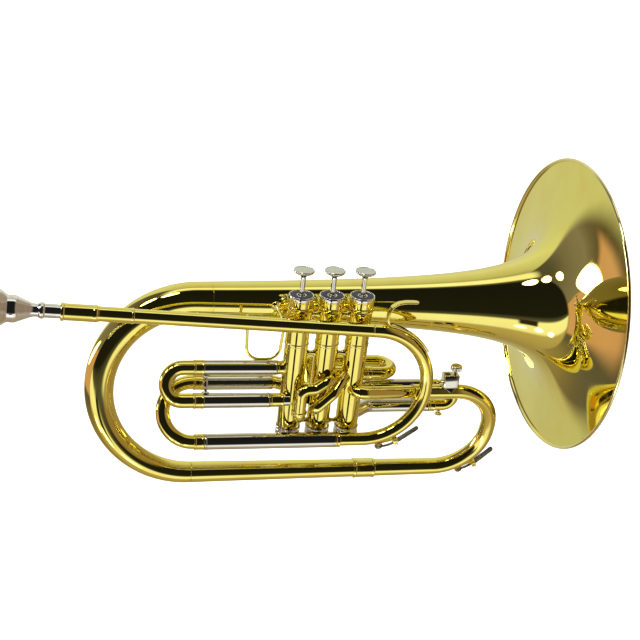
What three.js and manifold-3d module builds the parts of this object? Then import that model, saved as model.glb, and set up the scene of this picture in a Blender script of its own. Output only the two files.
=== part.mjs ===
/**
 * Marching baritone horn with three piston valves.
 *
 * Millimetres. +X runs towards the bell, +Z up along the valves, +Y towards the bell's side.
 * The origin lies on the second valve's axis, where the hand closes round the casings.
 */
import * as THREE from 'three';
import { mergeVertices } from 'three/addons/utils/BufferGeometryUtils.js';
import Module from 'manifold-3d';

const wasm = await Module();
wasm.setup();

// ---------------------------------------------------------------- driving dimensions

const JOINT_GAP = 0.3; // between soldered or screwed neighbours
const BEND_STEPS = 3; // facets in a quarter bend
const PIPE_SIDES = 10;

const BELL_DIAMETER = 280; // outside the rolled edge: an eleven inch bell
const BELL_MOUTH_X = 238;
const BELL_TAIL_X = -100;
const BELL_AXIS = { y: 41, z: 41 };
const BELL_WALL = 0.9;
const BELL_EDGE_X = BELL_MOUTH_X - BELL_WALL - JOINT_GAP; // where the sheet meets the rolled edge
const BELL_FLARE_LENGTH = 4.6; // shorter opens the flare more suddenly
const BELL_FLARE_POWER = 0.485;
const BELL_STATIONS = 11;
const BELL_STATION_POWER = 2.8; // crowds the stations where the flare opens
const BELL_JOINT_REACH = 8; // of the hidden sleeve, either side of the bell's tail
const RIM_WIRE_R = 1.5;

const VALVE_PITCH = 27.6;
const CASING_R = 10.6;
const CASING_BORE = 9.5;
const CASING_TOP = 56.5;
const CASING_BOTTOM = -66;
const SEAM_Z = 19.5;
const CAP_R = 11.3;
const CAP_TOP = 66;
const BOTTOM_CAP_RIM = -64.7;
const BOTTOM_CAP_FLOOR = -79;
const PISTON_R = 9.2;
const PISTON_TOP = 41;
const PISTON_BOTTOM = -46;
const PISTON_FLOOR = PISTON_BOTTOM + 3;
const PORT_R = 4.6;
const WINDWAY_R = 4.4;
const WINDWAYS = [{ z: -24, rise: 3 }, { z: -9, rise: -3 }, { z: 12, rise: 0 }];
const BRIDGE_R = 2.6;
const CROSSOVER_R = 5;
const BRIDGE_HEIGHTS = [-61, 9, 47];
const CAP_SKIRT = 51; // the top cap's lower edge
const CAP_SEAT = CAP_TOP - 1.8;
const STEM_R = 2.3;
const BUTTON_R = 9.4;
const BUTTON_TOP = 89.5;
const VALVE_SIDES = 16;
const BELL_SIDES = 24;

const TUBE_R = 6; // plain brass tube of the bore's own size
const SLEEVE_R = 6.75; // slide tube that runs over it
const SLEEVE_BORE = 6;
const INNER_R = 5.8; // slide tube that runs inside a sleeve
const WALL = 0.7;
const THIN_WALL = 0.6;
const COLLAR_WALL = 1;

const LEADPIPE_Y = -20;
const LEADPIPE_R = 6.25;
const LEADPIPE_TILT = THREE.MathUtils.degToRad(3.4); // the mouthpiece end is the higher one
const RECEIVER_MOUTH = { x: -232, z: 56.7 };
const LEADPIPE_BOW_X = 92.3;
const LEADPIPE_BOW_R = 54.5;
const LEADPIPE_BOW_CENTRE_Z = -13.9;
const LEADPIPE_BOW_END_X = 6;
const LEADPIPE_RUN = 268; // from the receiver's mouth to the joint with the bow
const RECEIVER = { radius: 7.2, wall: 0.65, length: 31, overlap: 6 };

const TUNING_LOWER = { y: -20, z: -70 };
const TUNING_UPPER = { y: 11, z: -26.4 };
const TUNING_TUBE_R = 7.5;
const TUNING_END_X = -107;
const TUNING_CROOK_X = -143.5;
const TUNING_CROOK_R = 26.4;
const TUNING_INNER_R = 6.3;
const TUNING_WALL = 0.8;
const TUNING_COLLAR = { length: 9, wall: 1.3 };
const TUNING_LOWER_START_X = 13.5;
const TUNING_UPPER_START_X = -44;
const TUNING_LEG_TIPS = { lower: -38, upper: -62 };
const INLET = { start: -50, bend: -43, intoY: 2, bendR: 10 };

const FIRST_UPPER = { y: 0, z: -6 };
const FIRST_LOWER = { y: -10.6, z: -33.4 };
const FIRST_CROOK_X = -141.5;
const FIRST_CROOK_R = 14.2;
const FIRST_INNER = { tip: -118, radius: 5.6 };
const FIRST_SLEEVE_ENDS = { upper: -44, lower: -50 };
const FIRST_BRACE = { x: -107, reach: 6.3, radius: 1.6 }; // reach: from each leg's axis

const SECOND_Z = -22.8;
const SECOND_REAR_Z = SECOND_Z - 16; // where the rear leg's stub leaves the casing
const SECOND_FRONT_X = 2;
const SECOND_REAR_X = -7.2;
const SECOND_REAR_BEND_Y = 22;
const SECOND_FRONT_Y = 19.5;
const SECOND_REAR_Y = 44.5;
const SECOND_BEND_R = 7.2;
const SECOND_OUTER_END_X = 45;
const SECOND_LEG_TIP_X = 24;
const SECOND_COLLAR_END_X = 51;
const SECOND_CROOK_X = 73;
const SECOND_CROOK_R = 12.4;

const THIRD_Y = 20.5;
const THIRD_UPPER_Z = -37;
const THIRD_LOWER_Z = -57.6;
const THIRD_CROOK_X = 137;
const THIRD_CROOK_R = 10.2;
const THIRD_SWING = { startX: 2, startY: 3, endX: 24, bendR: 16 }; // from the casing's axis
const THIRD_OUTER_END_X = 112;
const THIRD_LEG_TIP_X = 66;
const THIRD_COLLAR_END_X = 119;
const THIRD_KNOB_X = 125;

const OUTLET_START = [VALVE_PITCH, -16.5, -24];
const OUTLET_END = [92, -4.6, -29.6];
const OUTLET_BEND_R = 9;
const FRONT_BOW_TOP = { y: 1, z: -32.4 };
const FRONT_BOW_X = 173.5;
const FRONT_BOW_R = 47;
const FRONT_BOW_START_R = 6.6;
const FRONT_BOW_END_R = 8.5;
const BRANCH = { y: 20, z: -127.5 };
const BRANCH_START_R = 8.6;
const BRANCH_END_R = 9.9;
const BRANCH_END_X = -112;
const BRANCH_SLEEVE_R = 9.8;
const BRANCH_SIDES = 14;
const SLEEVE_X = [46, 67];
const LYRE = { x: 122, y: -2.5, z: -30.6 }; // on the front bow's centre line
const LYRE_TOP = -12;
const LYRE_SCREW_X = LYRE.x + 4.2;
const LYRE_SLOT_X = LYRE.x - 3.4;
const LYRE_SCREW_R = 1.5;
const MAIN_BOW_X = -198;
const MAIN_BOW_R = 84.9;

const POST = { x: -44.2, z: 44 };
const OUTLET_POST = { x: LEADPIPE_BOW_X - 2, endY: -4.9 - 6.6 - JOINT_GAP, z: -28.4, radius: 4.2 };
const HOOK_WIDTH = 7;
const HOOK_THICKNESS = 1.6;
const KEY_PIN = { x: 16, z: -4.2 };
const KEY_PLATE_ANGLE = 21;

// ---------------------------------------------------------------- finishes

/** A metal or felt finish. */
function finish(color, roughness, metalness) {
  return new THREE.MeshStandardMaterial({ color, roughness, metalness });
}

const lacquer = finish(0xd9a520, 0.16, 1);
const nickel = finish(0xb9b6a6, 0.2, 1);
const silver = finish(0xc9cacb, 0.14, 1);
const felt = finish(0x0b0b10, 0.95, 0);
const steel = finish(0x8a8c90, 0.3, 1);

// ---------------------------------------------------------------- building blocks

/** Turns a geometry into a closed solid that can be cut and joined. */
function toSolid(geometry) {
  const bare = geometry.clone();
  bare.deleteAttribute('normal');
  bare.deleteAttribute('uv');
  const merged = mergeVertices(bare, 1e-4);
  return new wasm.Manifold(new wasm.Mesh({
    numProp: 3,
    vertProperties: new Float32Array(merged.attributes.position.array),
    triVerts: new Uint32Array(merged.index.array),
  }));
}

/** Turns a solid back into a geometry. */
function toGeometry(solid) {
  const mesh = solid.getMesh();
  const geometry = new THREE.BufferGeometry();
  geometry.setAttribute('position', new THREE.BufferAttribute(new Float32Array(mesh.vertProperties), 3));
  geometry.setIndex(new THREE.BufferAttribute(new Uint32Array(mesh.triVerts), 1));
  return geometry;
}

/** Joins geometries that overlap into one. */
function join(...geometries) {
  return toGeometry(geometries.map(toSolid).reduce((whole, next) => whole.add(next)));
}

/** Cuts the tools out of a geometry. */
function cut(geometry, ...tools) {
  return toGeometry(tools.map(toSolid).reduce((whole, next) => whole.subtract(next), toSolid(geometry)));
}

/** Turns a geometry's faces outwards when its signed volume is negative. */
function faceOut(geometry) {
  const position = geometry.attributes.position;
  const index = geometry.index.array;
  const [a, b, c] = [new THREE.Vector3(), new THREE.Vector3(), new THREE.Vector3()];
  let volume = 0;
  for (let i = 0; i < index.length; i += 3) {
    a.fromBufferAttribute(position, index[i]);
    b.fromBufferAttribute(position, index[i + 1]);
    c.fromBufferAttribute(position, index[i + 2]);
    volume += a.dot(b.cross(c));
  }
  if (volume < 0) {
    for (let i = 0; i < index.length; i += 3) {
      [index[i], index[i + 1]] = [index[i + 1], index[i]];
    }
  }
  return geometry;
}

/** Turns a closed [radius, z] outline about the Z axis. */
function turned(outline, sides = VALVE_SIDES) {
  const points = outline.map(([radius, z]) => new THREE.Vector2(radius, z));
  return faceOut(new THREE.LatheGeometry(points, sides).rotateX(Math.PI / 2));
}

/** A ring of rectangular section about the Z axis. */
function ring(inner, outer, bottom, top, sides = VALVE_SIDES) {
  return turned([[inner, bottom], [outer, bottom], [outer, top], [inner, top], [inner, bottom]], sides);
}

/** A plain rod about the Z axis. */
function rod(radius, bottom, top, sides = 12) {
  return turned([[0, bottom], [radius, bottom], [radius, top], [0, top]], sides);
}

/**
 * The stations of a pipe's centre line: straight runs between corners, each corner rounded.
 * A station has a point, the direction there and the distance run so far.
 */
function route(corners, bendRadius = 0, bendSteps = BEND_STEPS) {
  const points = corners.map((corner) => new THREE.Vector3(...corner));
  const heading = (i) => points[i + 1].clone().sub(points[i]).normalize();
  const stations = [{ point: points[0], along: heading(0) }];
  for (let i = 1; i < points.length - 1; i += 1) {
    const into = heading(i - 1);
    const out = heading(i);
    const turn = into.angleTo(out);
    if (turn < 1e-3) {
      stations.push({ point: points[i], along: into });
      continue;
    }
    const start = points[i].clone().addScaledVector(into, -bendRadius * Math.tan(turn / 2));
    const side = out.clone().addScaledVector(into, -Math.cos(turn)).normalize();
    for (let k = 0; k <= bendSteps; k += 1) {
      const angle = (turn * k) / bendSteps;
      const point = start.clone()
        .addScaledVector(into, bendRadius * Math.sin(angle))
        .addScaledVector(side, bendRadius * (1 - Math.cos(angle)));
      const along = into.clone().multiplyScalar(Math.cos(angle)).addScaledVector(side, Math.sin(angle));
      if (point.distanceTo(stations.at(-1).point) > 0.4) {
        stations.push({ point, along });
      }
    }
  }
  const last = points.at(-1);
  if (last.distanceTo(stations.at(-1).point) > 0.4) {
    stations.push({ point: last, along: heading(points.length - 2) });
  }
  stations[0].run = 0;
  for (let i = 1; i < stations.length; i += 1) {
    stations[i].run = stations[i - 1].run + stations[i].point.distanceTo(stations[i - 1].point);
  }
  return stations;
}

/** Bends a turned shape, whose y counts the stations, along their line. */
function bendAlong(geometry, stations) {
  const frames = [];
  let across = new THREE.Vector3(0.31, 0.83, 0.47);
  for (const { point, along } of stations) {
    across = across.clone().addScaledVector(along, -across.dot(along)).normalize();
    frames.push({ point, across, up: along.clone().cross(across) });
  }
  const position = geometry.attributes.position;
  for (let i = 0; i < position.count; i += 1) {
    const { point, across: side, up } = frames[Math.round(position.getY(i))];
    const place = point.clone()
      .addScaledVector(side, position.getX(i))
      .addScaledVector(up, position.getZ(i));
    position.setXYZ(i, place.x, place.y, place.z);
  }
  return faceOut(geometry);
}

/**
 * A hollow pipe along stations. Its outer radius runs evenly from startR to endR.
 */
function pipe(stations, startR, endR = startR, wall = WALL, sides = PIPE_SIDES) {
  const total = stations.at(-1).run;
  const radius = (station) => startR + ((endR - startR) * station.run) / total;
  const outside = stations.map((station, i) => new THREE.Vector2(radius(station), i));
  const inside = stations.map((station, i) => new THREE.Vector2(radius(station) - wall, i)).reverse();
  return bendAlong(new THREE.LatheGeometry([...outside, ...inside, outside[0]], sides), stations);
}

/** A solid bar of round section along stations. */
function bar(stations, radius, sides = 8) {
  const outline = stations.map((_, i) => new THREE.Vector2(radius, i));
  const last = stations.length - 1;
  const ends = [new THREE.Vector2(0, 0), ...outline, new THREE.Vector2(0, last)];
  return bendAlong(new THREE.LatheGeometry(ends, sides), stations);
}

/** A straight sleeve between two points. */
function sleeve(from, to, radius, wall, sides = PIPE_SIDES) {
  return pipe(route([from, to]), radius, radius, wall, sides);
}

/** A straight solid bar between two points. */
function post(from, to, radius, sides = 10) {
  return bar(route([from, to]), radius, sides);
}

/** The room that valve casing number n takes, with the joint gap round it. */
function casingRoom(n) {
  const room = rod(CASING_R + JOINT_GAP, CASING_BOTTOM, CASING_TOP, VALVE_SIDES);
  return room.translate(valveX(n), 0, 0);
}

/** The X of valve number n, from 1 to 3. */
function valveX(n) {
  return (n - 2) * VALVE_PITCH;
}

/** The same [x, y, z] points with a leg's y and z. */
function at(x, leg) {
  return [x, leg.y, leg.z];
}

const horn = new THREE.Group();

/** Adds one named piece to the horn. */
function add(name, geometry, material) {
  const mesh = new THREE.Mesh(geometry, material);
  mesh.name = name;
  horn.add(mesh);
}

// ---------------------------------------------------------------- bell and bows

/** The bell's outer radius at a distance behind its edge: a power law of that distance. */
function bellRadius(behindEdge) {
  const rimR = BELL_DIAMETER / 2 - 2 * RIM_WIRE_R - JOINT_GAP;
  return rimR * (BELL_FLARE_LENGTH / (BELL_FLARE_LENGTH + behindEdge)) ** BELL_FLARE_POWER;
}

/** The spun bell: its stations crowd together where the flare opens. */
function bellFlare() {
  const length = BELL_EDGE_X - BELL_TAIL_X;
  const behind = Array.from(
    { length: BELL_STATIONS + 1 },
    (_, i) => length * (i / BELL_STATIONS) ** BELL_STATION_POWER,
  );
  const outside = behind.map((d) => new THREE.Vector2(bellRadius(d), -d));
  const inside = behind.map((d) => {
    const slope = (BELL_FLARE_POWER * bellRadius(d)) / (BELL_FLARE_LENGTH + d);
    const inwards = new THREE.Vector2(-1, slope).setLength(BELL_WALL);
    return new THREE.Vector2(bellRadius(d), -d).add(inwards);
  }).reverse();
  const shell = new THREE.LatheGeometry([...outside, ...inside, outside[0]], BELL_SIDES);
  return faceOut(shell.rotateZ(-Math.PI / 2).translate(BELL_EDGE_X, BELL_AXIS.y, BELL_AXIS.z));
}

/** The wire that the bell's edge is rolled round. */
function rimWire() {
  const centreR = BELL_DIAMETER / 2 - RIM_WIRE_R;
  const wire = new THREE.TorusGeometry(centreR, RIM_WIRE_R, 8, BELL_SIDES);
  return faceOut(wire.rotateY(Math.PI / 2).translate(BELL_MOUTH_X - RIM_WIRE_R, BELL_AXIS.y, BELL_AXIS.z));
}

/** The big bow's centre line, from the bottom branch round to the bell's tail. */
function mainBowRoute() {
  return route([
    at(BRANCH_END_X, BRANCH),
    at(MAIN_BOW_X, BRANCH),
    at(MAIN_BOW_X, BELL_AXIS),
    at(BELL_TAIL_X - JOINT_GAP, BELL_AXIS),
  ], MAIN_BOW_R, 5);
}

/** The front bow's centre line, from the outlet tube down to the bottom branch. */
function frontBowRoute() {
  const [x, y, z] = OUTLET_END;
  return route([
    [x + 4 * JOINT_GAP, y, z],
    at(FRONT_BOW_X, FRONT_BOW_TOP),
    at(FRONT_BOW_X, BRANCH),
    at(sleeveMiddle + JOINT_GAP, BRANCH),
  ], FRONT_BOW_R, 4);
}

const tailR = bellRadius(BELL_EDGE_X - BELL_TAIL_X);
const sleeveMiddle = (SLEEVE_X[0] + SLEEVE_X[1]) / 2;
add('bell_flare', bellFlare(), lacquer);
add('bell_rim_wire', rimWire(), lacquer);
add('main_bow', pipe(mainBowRoute(), BRANCH_END_R, tailR, BELL_WALL, 12), lacquer);
add('bell_joint_sleeve', sleeve(
  at(BELL_TAIL_X - BELL_JOINT_REACH, BELL_AXIS), at(BELL_TAIL_X + BELL_JOINT_REACH, BELL_AXIS),
  tailR - BELL_WALL - 3 * JOINT_GAP, WALL, 12,
), lacquer);
add('bottom_branch', pipe(
  route([at(sleeveMiddle, BRANCH), at(BRANCH_END_X + JOINT_GAP, BRANCH)]),
  BRANCH_START_R, BRANCH_END_R, WALL, BRANCH_SIDES,
), lacquer);
add('branch_sleeve', sleeve(
  at(SLEEVE_X[0], BRANCH), at(SLEEVE_X[1], BRANCH), BRANCH_SLEEVE_R, BELL_WALL, BRANCH_SIDES,
), lacquer);
add('front_bow', pipe(frontBowRoute(), FRONT_BOW_START_R, FRONT_BOW_END_R), lacquer);

/** The tube out of the third valve: an elbow at its front, then straight towards the bell. */
function outletTube() {
  const [x, y, z] = OUTLET_START;
  return cut(pipe(route([[x, 0, z], [x, y, z], OUTLET_END], OUTLET_BEND_R), TUBE_R), casingRoom(3));
}

add('outlet_tube', outletTube(), lacquer);

// ---------------------------------------------------------------- mouthpiece, leadpipe and its bow

/** A point on the leadpipe's axis, a distance along it from the receiver's mouth. */
function onLeadpipe(distance) {
  return [
    RECEIVER_MOUTH.x + distance * Math.cos(LEADPIPE_TILT),
    LEADPIPE_Y,
    RECEIVER_MOUTH.z - distance * Math.sin(LEADPIPE_TILT),
  ];
}

/** Lays a shape turned about Z along the leadpipe, z becoming the distance along it. */
function alongLeadpipe(geometry) {
  return geometry.rotateY(Math.PI / 2 + LEADPIPE_TILT)
    .translate(RECEIVER_MOUTH.x, LEADPIPE_Y, RECEIVER_MOUTH.z);
}

/** The silver mouthpiece: rim, cup, throat and tapered shank in one turning. */
function mouthpiece() {
  const outside = [
    [5, 24], [5.6, -2], [5.6, -8.5], [5, -11], [5.2, -13.2], [6.7, -14], [6.7, -16], [5.5, -17.6],
    [5.6, -20.6], [7.9, -27.4], [11.1, -34.6], [11.2, -41.5], [13.8, -45.6], [16, -49], [16.2, -55],
    [18.6, -60.2], [19, -63], [18.6, -65.4], [16, -66.6],
  ];
  const bore = [
    [13.6, -65.4], [12.6, -62], [11.2, -52], [7.6, -43], [3.6, -37], [2.6, -34], [4.2, 24], [5, 24],
  ];
  return alongLeadpipe(turned([...outside, ...bore], 12));
}

/** The bow that takes the leadpipe round to the tuning slide. */
function leadpipeBow() {
  const start = onLeadpipe(LEADPIPE_RUN + JOINT_GAP);
  const run = (LEADPIPE_BOW_X - RECEIVER_MOUTH.x) / Math.cos(LEADPIPE_TILT);
  return pipe(route([
    start, onLeadpipe(run), at(LEADPIPE_BOW_X, TUNING_LOWER), at(LEADPIPE_BOW_END_X, TUNING_LOWER),
  ], LEADPIPE_BOW_R, 4), LEADPIPE_R, TUBE_R);
}

add('mouthpiece', mouthpiece(), silver);
add('receiver', sleeve(onLeadpipe(0), onLeadpipe(RECEIVER.length), RECEIVER.radius, RECEIVER.wall), lacquer);
add('leadpipe', sleeve(
  onLeadpipe(RECEIVER.length - RECEIVER.overlap), onLeadpipe(LEADPIPE_RUN), LEADPIPE_R, WALL,
), lacquer);
add('leadpipe_bow', leadpipeBow(), lacquer);

// ---------------------------------------------------------------- tuning slide

/** The fixed outer tube that the bow's lower end opens into. */
function tuningOuterLower() {
  return sleeve(
    at(TUNING_END_X, TUNING_LOWER), at(TUNING_LOWER_START_X, TUNING_LOWER), TUNING_TUBE_R, TUNING_WALL,
  );
}

/** The crook with its two inner legs and end ferrules, which pulls out away from the bell. */
function tuningSlide() {
  const crook = pipe(route([
    at(TUNING_LEG_TIPS.lower, TUNING_LOWER),
    at(TUNING_CROOK_X, TUNING_LOWER),
    at(TUNING_CROOK_X, TUNING_UPPER),
    at(TUNING_LEG_TIPS.upper, TUNING_UPPER),
  ], TUNING_CROOK_R), TUNING_INNER_R, TUNING_INNER_R, THIN_WALL);
  const seat = TUNING_END_X - JOINT_GAP;
  const collar = (leg) => sleeve(
    at(seat - TUNING_COLLAR.length, leg), at(seat, leg), TUNING_TUBE_R, TUNING_COLLAR.wall,
  );
  return join(crook, collar(TUNING_LOWER), collar(TUNING_UPPER));
}

/** The brass stub that leads from the tuning slide into the first valve. */
function inletTube() {
  const stub = route([
    at(INLET.start, TUNING_UPPER), at(INLET.bend, TUNING_UPPER), [valveX(1), INLET.intoY, TUNING_UPPER.z],
  ], INLET.bendR);
  return cut(pipe(stub, TUBE_R), casingRoom(1));
}

add('tuning_outer_lower', tuningOuterLower(), nickel);
add('tuning_outer_upper', sleeve(
  at(TUNING_END_X, TUNING_UPPER), at(TUNING_UPPER_START_X, TUNING_UPPER), TUNING_TUBE_R, TUNING_WALL,
), nickel);
add('tuning_slide', tuningSlide(), lacquer);
add('inlet_tube', inletTube(), lacquer);

// ---------------------------------------------------------------- first valve slide

/** A fixed inner tube from the first valve, which the slide runs over. */
function firstInner(leg) {
  const root = valveX(1) - 3.4;
  return cut(sleeve(at(FIRST_INNER.tip, leg), at(root, leg), FIRST_INNER.radius, THIN_WALL), casingRoom(1));
}

/** The first slide: two sleeves, the crook between them and a cross brace, in one piece. */
function firstSlide() {
  const shell = pipe(route([
    at(FIRST_SLEEVE_ENDS.upper, FIRST_UPPER), at(FIRST_CROOK_X, FIRST_UPPER),
    at(FIRST_CROOK_X, FIRST_LOWER), at(FIRST_SLEEVE_ENDS.lower, FIRST_LOWER),
  ], FIRST_CROOK_R), SLEEVE_R, SLEEVE_R, SLEEVE_R - SLEEVE_BORE);
  const { x, reach, radius } = FIRST_BRACE;
  const [upper, lower] = [FIRST_UPPER, FIRST_LOWER].map((leg) => new THREE.Vector3(...at(x, leg)));
  const across = lower.clone().sub(upper).setLength(reach);
  const brace = post(upper.add(across).toArray(), lower.sub(across).toArray(), radius, 8);
  return join(shell, brace);
}

/** The thumb saddle: a wire U on the slide's upper sleeve, open upwards. */
function thumbSaddle() {
  const y = FIRST_UPPER.y;
  const foot = FIRST_UPPER.z + SLEEVE_R + JOINT_GAP;
  const wire = bar(route([
    [-73.5, y, foot + 45], [-71.5, y, foot + 1.4], [-42.5, y, foot + 1.4], [-40.6, y, foot + 30],
  ], 12, 3), 1.4, 6);
  const pad = new THREE.BoxGeometry(12, 4.5, 1.4).translate(-58.5, y, foot + 0.7);
  return join(wire, pad);
}

add('first_inner_upper', firstInner(FIRST_UPPER), nickel);
add('first_inner_lower', firstInner(FIRST_LOWER), nickel);
add('first_slide', firstSlide(), nickel);
add('thumb_saddle', thumbSaddle(), lacquer);

// ---------------------------------------------------------------- second valve slide

/** A point on the second slide's level plane. */
function onSecond(x, y) {
  return [x, y, SECOND_Z];
}

/** The front fixed outer tube: out of the back of the second valve and round towards the bell. */
function secondFrontOuter() {
  return cut(pipe(route([
    onSecond(SECOND_FRONT_X, 0),
    onSecond(SECOND_FRONT_X, SECOND_FRONT_Y),
    onSecond(SECOND_OUTER_END_X, SECOND_FRONT_Y),
  ], SECOND_BEND_R), SLEEVE_R, SLEEVE_R, THIN_WALL), casingRoom(2));
}

/** The rear fixed outer tube, which leaves the valve lower down and climbs to the slide's plane. */
function secondRearOuter() {
  return cut(pipe(route([
    [SECOND_REAR_X, 0, SECOND_REAR_Z],
    [SECOND_REAR_X, SECOND_REAR_BEND_Y, SECOND_REAR_Z],
    onSecond(SECOND_REAR_X, SECOND_REAR_Y),
    onSecond(SECOND_OUTER_END_X, SECOND_REAR_Y),
  ], SECOND_BEND_R), SLEEVE_R, SLEEVE_R, THIN_WALL), casingRoom(2));
}

/** The second slide, a U lying level behind the third valve. */
function secondSlide() {
  const crook = pipe(route([
    onSecond(SECOND_LEG_TIP_X, SECOND_FRONT_Y), onSecond(SECOND_CROOK_X, SECOND_FRONT_Y),
    onSecond(SECOND_CROOK_X, SECOND_REAR_Y), onSecond(SECOND_LEG_TIP_X, SECOND_REAR_Y),
  ], SECOND_CROOK_R), INNER_R, INNER_R, THIN_WALL);
  const seat = SECOND_OUTER_END_X + JOINT_GAP;
  const collar = (y) => sleeve(onSecond(seat, y), onSecond(SECOND_COLLAR_END_X, y), SLEEVE_R, COLLAR_WALL);
  return join(crook, collar(SECOND_FRONT_Y), collar(SECOND_REAR_Y));
}

add('second_outer_front', secondFrontOuter(), lacquer);
add('second_outer_rear', secondRearOuter(), lacquer);
add('second_slide', secondSlide(), lacquer);

// ---------------------------------------------------------------- third valve slide

/** A fixed outer tube from the third valve's back, swinging out to the slide's plane. */
function thirdOuter(z) {
  const { startX, startY, endX, bendR } = THIRD_SWING;
  return cut(pipe(route([
    [valveX(3) + startX, startY, z], [valveX(3) + endX, THIRD_Y, z], [THIRD_OUTER_END_X, THIRD_Y, z],
  ], bendR, 2), SLEEVE_R, SLEEVE_R, THIN_WALL), casingRoom(3));
}

/** The third slide, a U standing on edge. */
function thirdSlide() {
  const leg = (z) => ({ y: THIRD_Y, z });
  const crook = pipe(route([
    at(THIRD_LEG_TIP_X, leg(THIRD_UPPER_Z)), at(THIRD_CROOK_X, leg(THIRD_UPPER_Z)),
    at(THIRD_CROOK_X, leg(THIRD_LOWER_Z)), at(THIRD_LEG_TIP_X, leg(THIRD_LOWER_Z)),
  ], THIRD_CROOK_R), INNER_R, INNER_R, THIN_WALL);
  const seat = THIRD_OUTER_END_X + JOINT_GAP;
  const collar = (z) => sleeve(at(seat, leg(z)), at(THIRD_COLLAR_END_X, leg(z)), SLEEVE_R, COLLAR_WALL);
  return join(crook, collar(THIRD_UPPER_Z), collar(THIRD_LOWER_Z));
}

/** The small turned knob under the third slide, for the ring finger to push. */
function thirdKnob() {
  const top = THIRD_LOWER_Z - INNER_R - JOINT_GAP;
  const outline = [[0, top], [2.4, top], [1.6, top - 1.6], [3.6, top - 3.2], [3.6, top - 5], [0, top - 5.6]];
  return turned(outline, 12).translate(THIRD_KNOB_X, THIRD_Y, 0);
}

add('third_outer_upper', thirdOuter(THIRD_UPPER_Z), nickel);
add('third_outer_lower', thirdOuter(THIRD_LOWER_Z), nickel);
add('third_slide', thirdSlide(), lacquer);
add('third_slide_knob', thirdKnob(), nickel);

// ---------------------------------------------------------------- valves

/** The ports that open each casing's wall, as bars along the tubes that meet it. */
function casingPorts(n) {
  const inFrom = (x, leg, y) => [at(x, leg), at(valveX(1), { y, z: leg.z })];
  const inFromBack = (x, z) => [[x, 20, z], [x, 0, z]];
  const aslant = (z) => [[valveX(3) + 14, 12, z], [valveX(3), 1, z]];
  const ports = {
    1: [
      inFrom(INLET.bend, TUNING_UPPER, INLET.intoY), inFrom(-50, FIRST_UPPER, 0), inFrom(-50, FIRST_LOWER, -2),
    ],
    2: [inFromBack(SECOND_FRONT_X, SECOND_Z), inFromBack(-5, SECOND_REAR_Z)],
    3: [
      [[valveX(3), -20, OUTLET_START[2]], [valveX(3), 0, OUTLET_START[2]]],
      aslant(THIRD_UPPER_Z),
      aslant(THIRD_LOWER_Z),
    ],
  };
  return ports[n].map(([from, to]) => post(from, to, PORT_R));
}

/** A casing: a straight barrel with a raised seam, open at both ends. */
function casing(n) {
  const seam = 0.35;
  const foot = [CASING_R, CASING_BOTTOM];
  return cut(turned([
    foot, [CASING_R, SEAM_Z - 1], [CASING_R + seam, SEAM_Z - 0.7], [CASING_R + seam, SEAM_Z + 0.7],
    [CASING_R, SEAM_Z + 1], [CASING_R, CASING_TOP], [CASING_BORE, CASING_TOP],
    [CASING_BORE, CASING_BOTTOM], foot,
  ]).translate(valveX(n), 0, 0), ...casingPorts(n));
}

/** The short bridges that brace the middle casing to its neighbours. */
function bridges() {
  const reach = VALVE_PITCH - CASING_R - JOINT_GAP;
  const bridge = (z) => post([-reach, 0, z], [reach, 0, z], BRIDGE_R, 8);
  const hollow = rod(CASING_BORE, CASING_BOTTOM, CASING_TOP, VALVE_SIDES);
  return BRIDGE_HEIGHTS.map((z) => cut(bridge(z), hollow));
}

/** The screwed top cap, with a dished seat for the felt and a hole for the stem. */
function topCap() {
  const thread = CASING_R + JOINT_GAP;
  const hole = STEM_R + 0.9;
  return turned([
    [thread, CAP_SKIRT], [CAP_R - 0.3, CAP_SKIRT], [CAP_R, CAP_SKIRT + 0.6], [CAP_R, CAP_TOP - 0.7],
    [CAP_R - 0.6, CAP_TOP], [CAP_R - 1.3, CAP_TOP], [CAP_R - 1.5, CAP_SEAT], [hole, CAP_SEAT],
    [hole, CASING_TOP + 2], [CASING_BORE - 0.6, CASING_TOP + 2],
    [thread, CASING_TOP + 0.4], [thread, CAP_SKIRT],
  ]);
}

/** The screwed bottom cap, a cup with a small vent. */
function bottomCap() {
  const thread = CASING_R + JOINT_GAP;
  const floor = BOTTOM_CAP_FLOOR;
  const ventR = 1.4;
  return turned([
    [thread, BOTTOM_CAP_RIM], [CAP_R, BOTTOM_CAP_RIM], [CAP_R, floor + 3], [CAP_R - 2.4, floor],
    [ventR, floor], [ventR, floor + 2], [CASING_R - 2.6, floor + 2], [thread, floor + 4.6],
    [thread, BOTTOM_CAP_RIM],
  ]);
}

/** The piston: a plugged barrel with three slanting windways through it. */
function piston() {
  const skirtR = PISTON_R - 1.4;
  const barrel = turned([
    [0, PISTON_FLOOR], [skirtR, PISTON_FLOOR], [skirtR, PISTON_BOTTOM], [PISTON_R, PISTON_BOTTOM],
    [PISTON_R, PISTON_TOP], [0, PISTON_TOP],
  ]);
  const reach = PISTON_R + 4.8;
  const windways = WINDWAYS.map(
    ({ z, rise }) => post([-reach, 0, z - rise], [reach, 0, z + rise], WINDWAY_R),
  );
  return cut(barrel, ...windways);
}

/** The stem with its finger button, dished underneath and slightly hollow on top. */
function fingerButton() {
  const stemFoot = PISTON_TOP + JOINT_GAP;
  const under = BUTTON_TOP - 5.2;
  return turned([
    [0, stemFoot], [STEM_R, stemFoot], [STEM_R, under - 1.5], [3.4, under],
    [BUTTON_R - 1.2, BUTTON_TOP - 2.4],
    [BUTTON_R, BUTTON_TOP - 1.3], [BUTTON_R - 0.3, BUTTON_TOP - 0.3], [BUTTON_R - 1, BUTTON_TOP],
    [BUTTON_R - 1.8, BUTTON_TOP - 0.4], [0, BUTTON_TOP - 0.4],
  ], 14);
}

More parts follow.
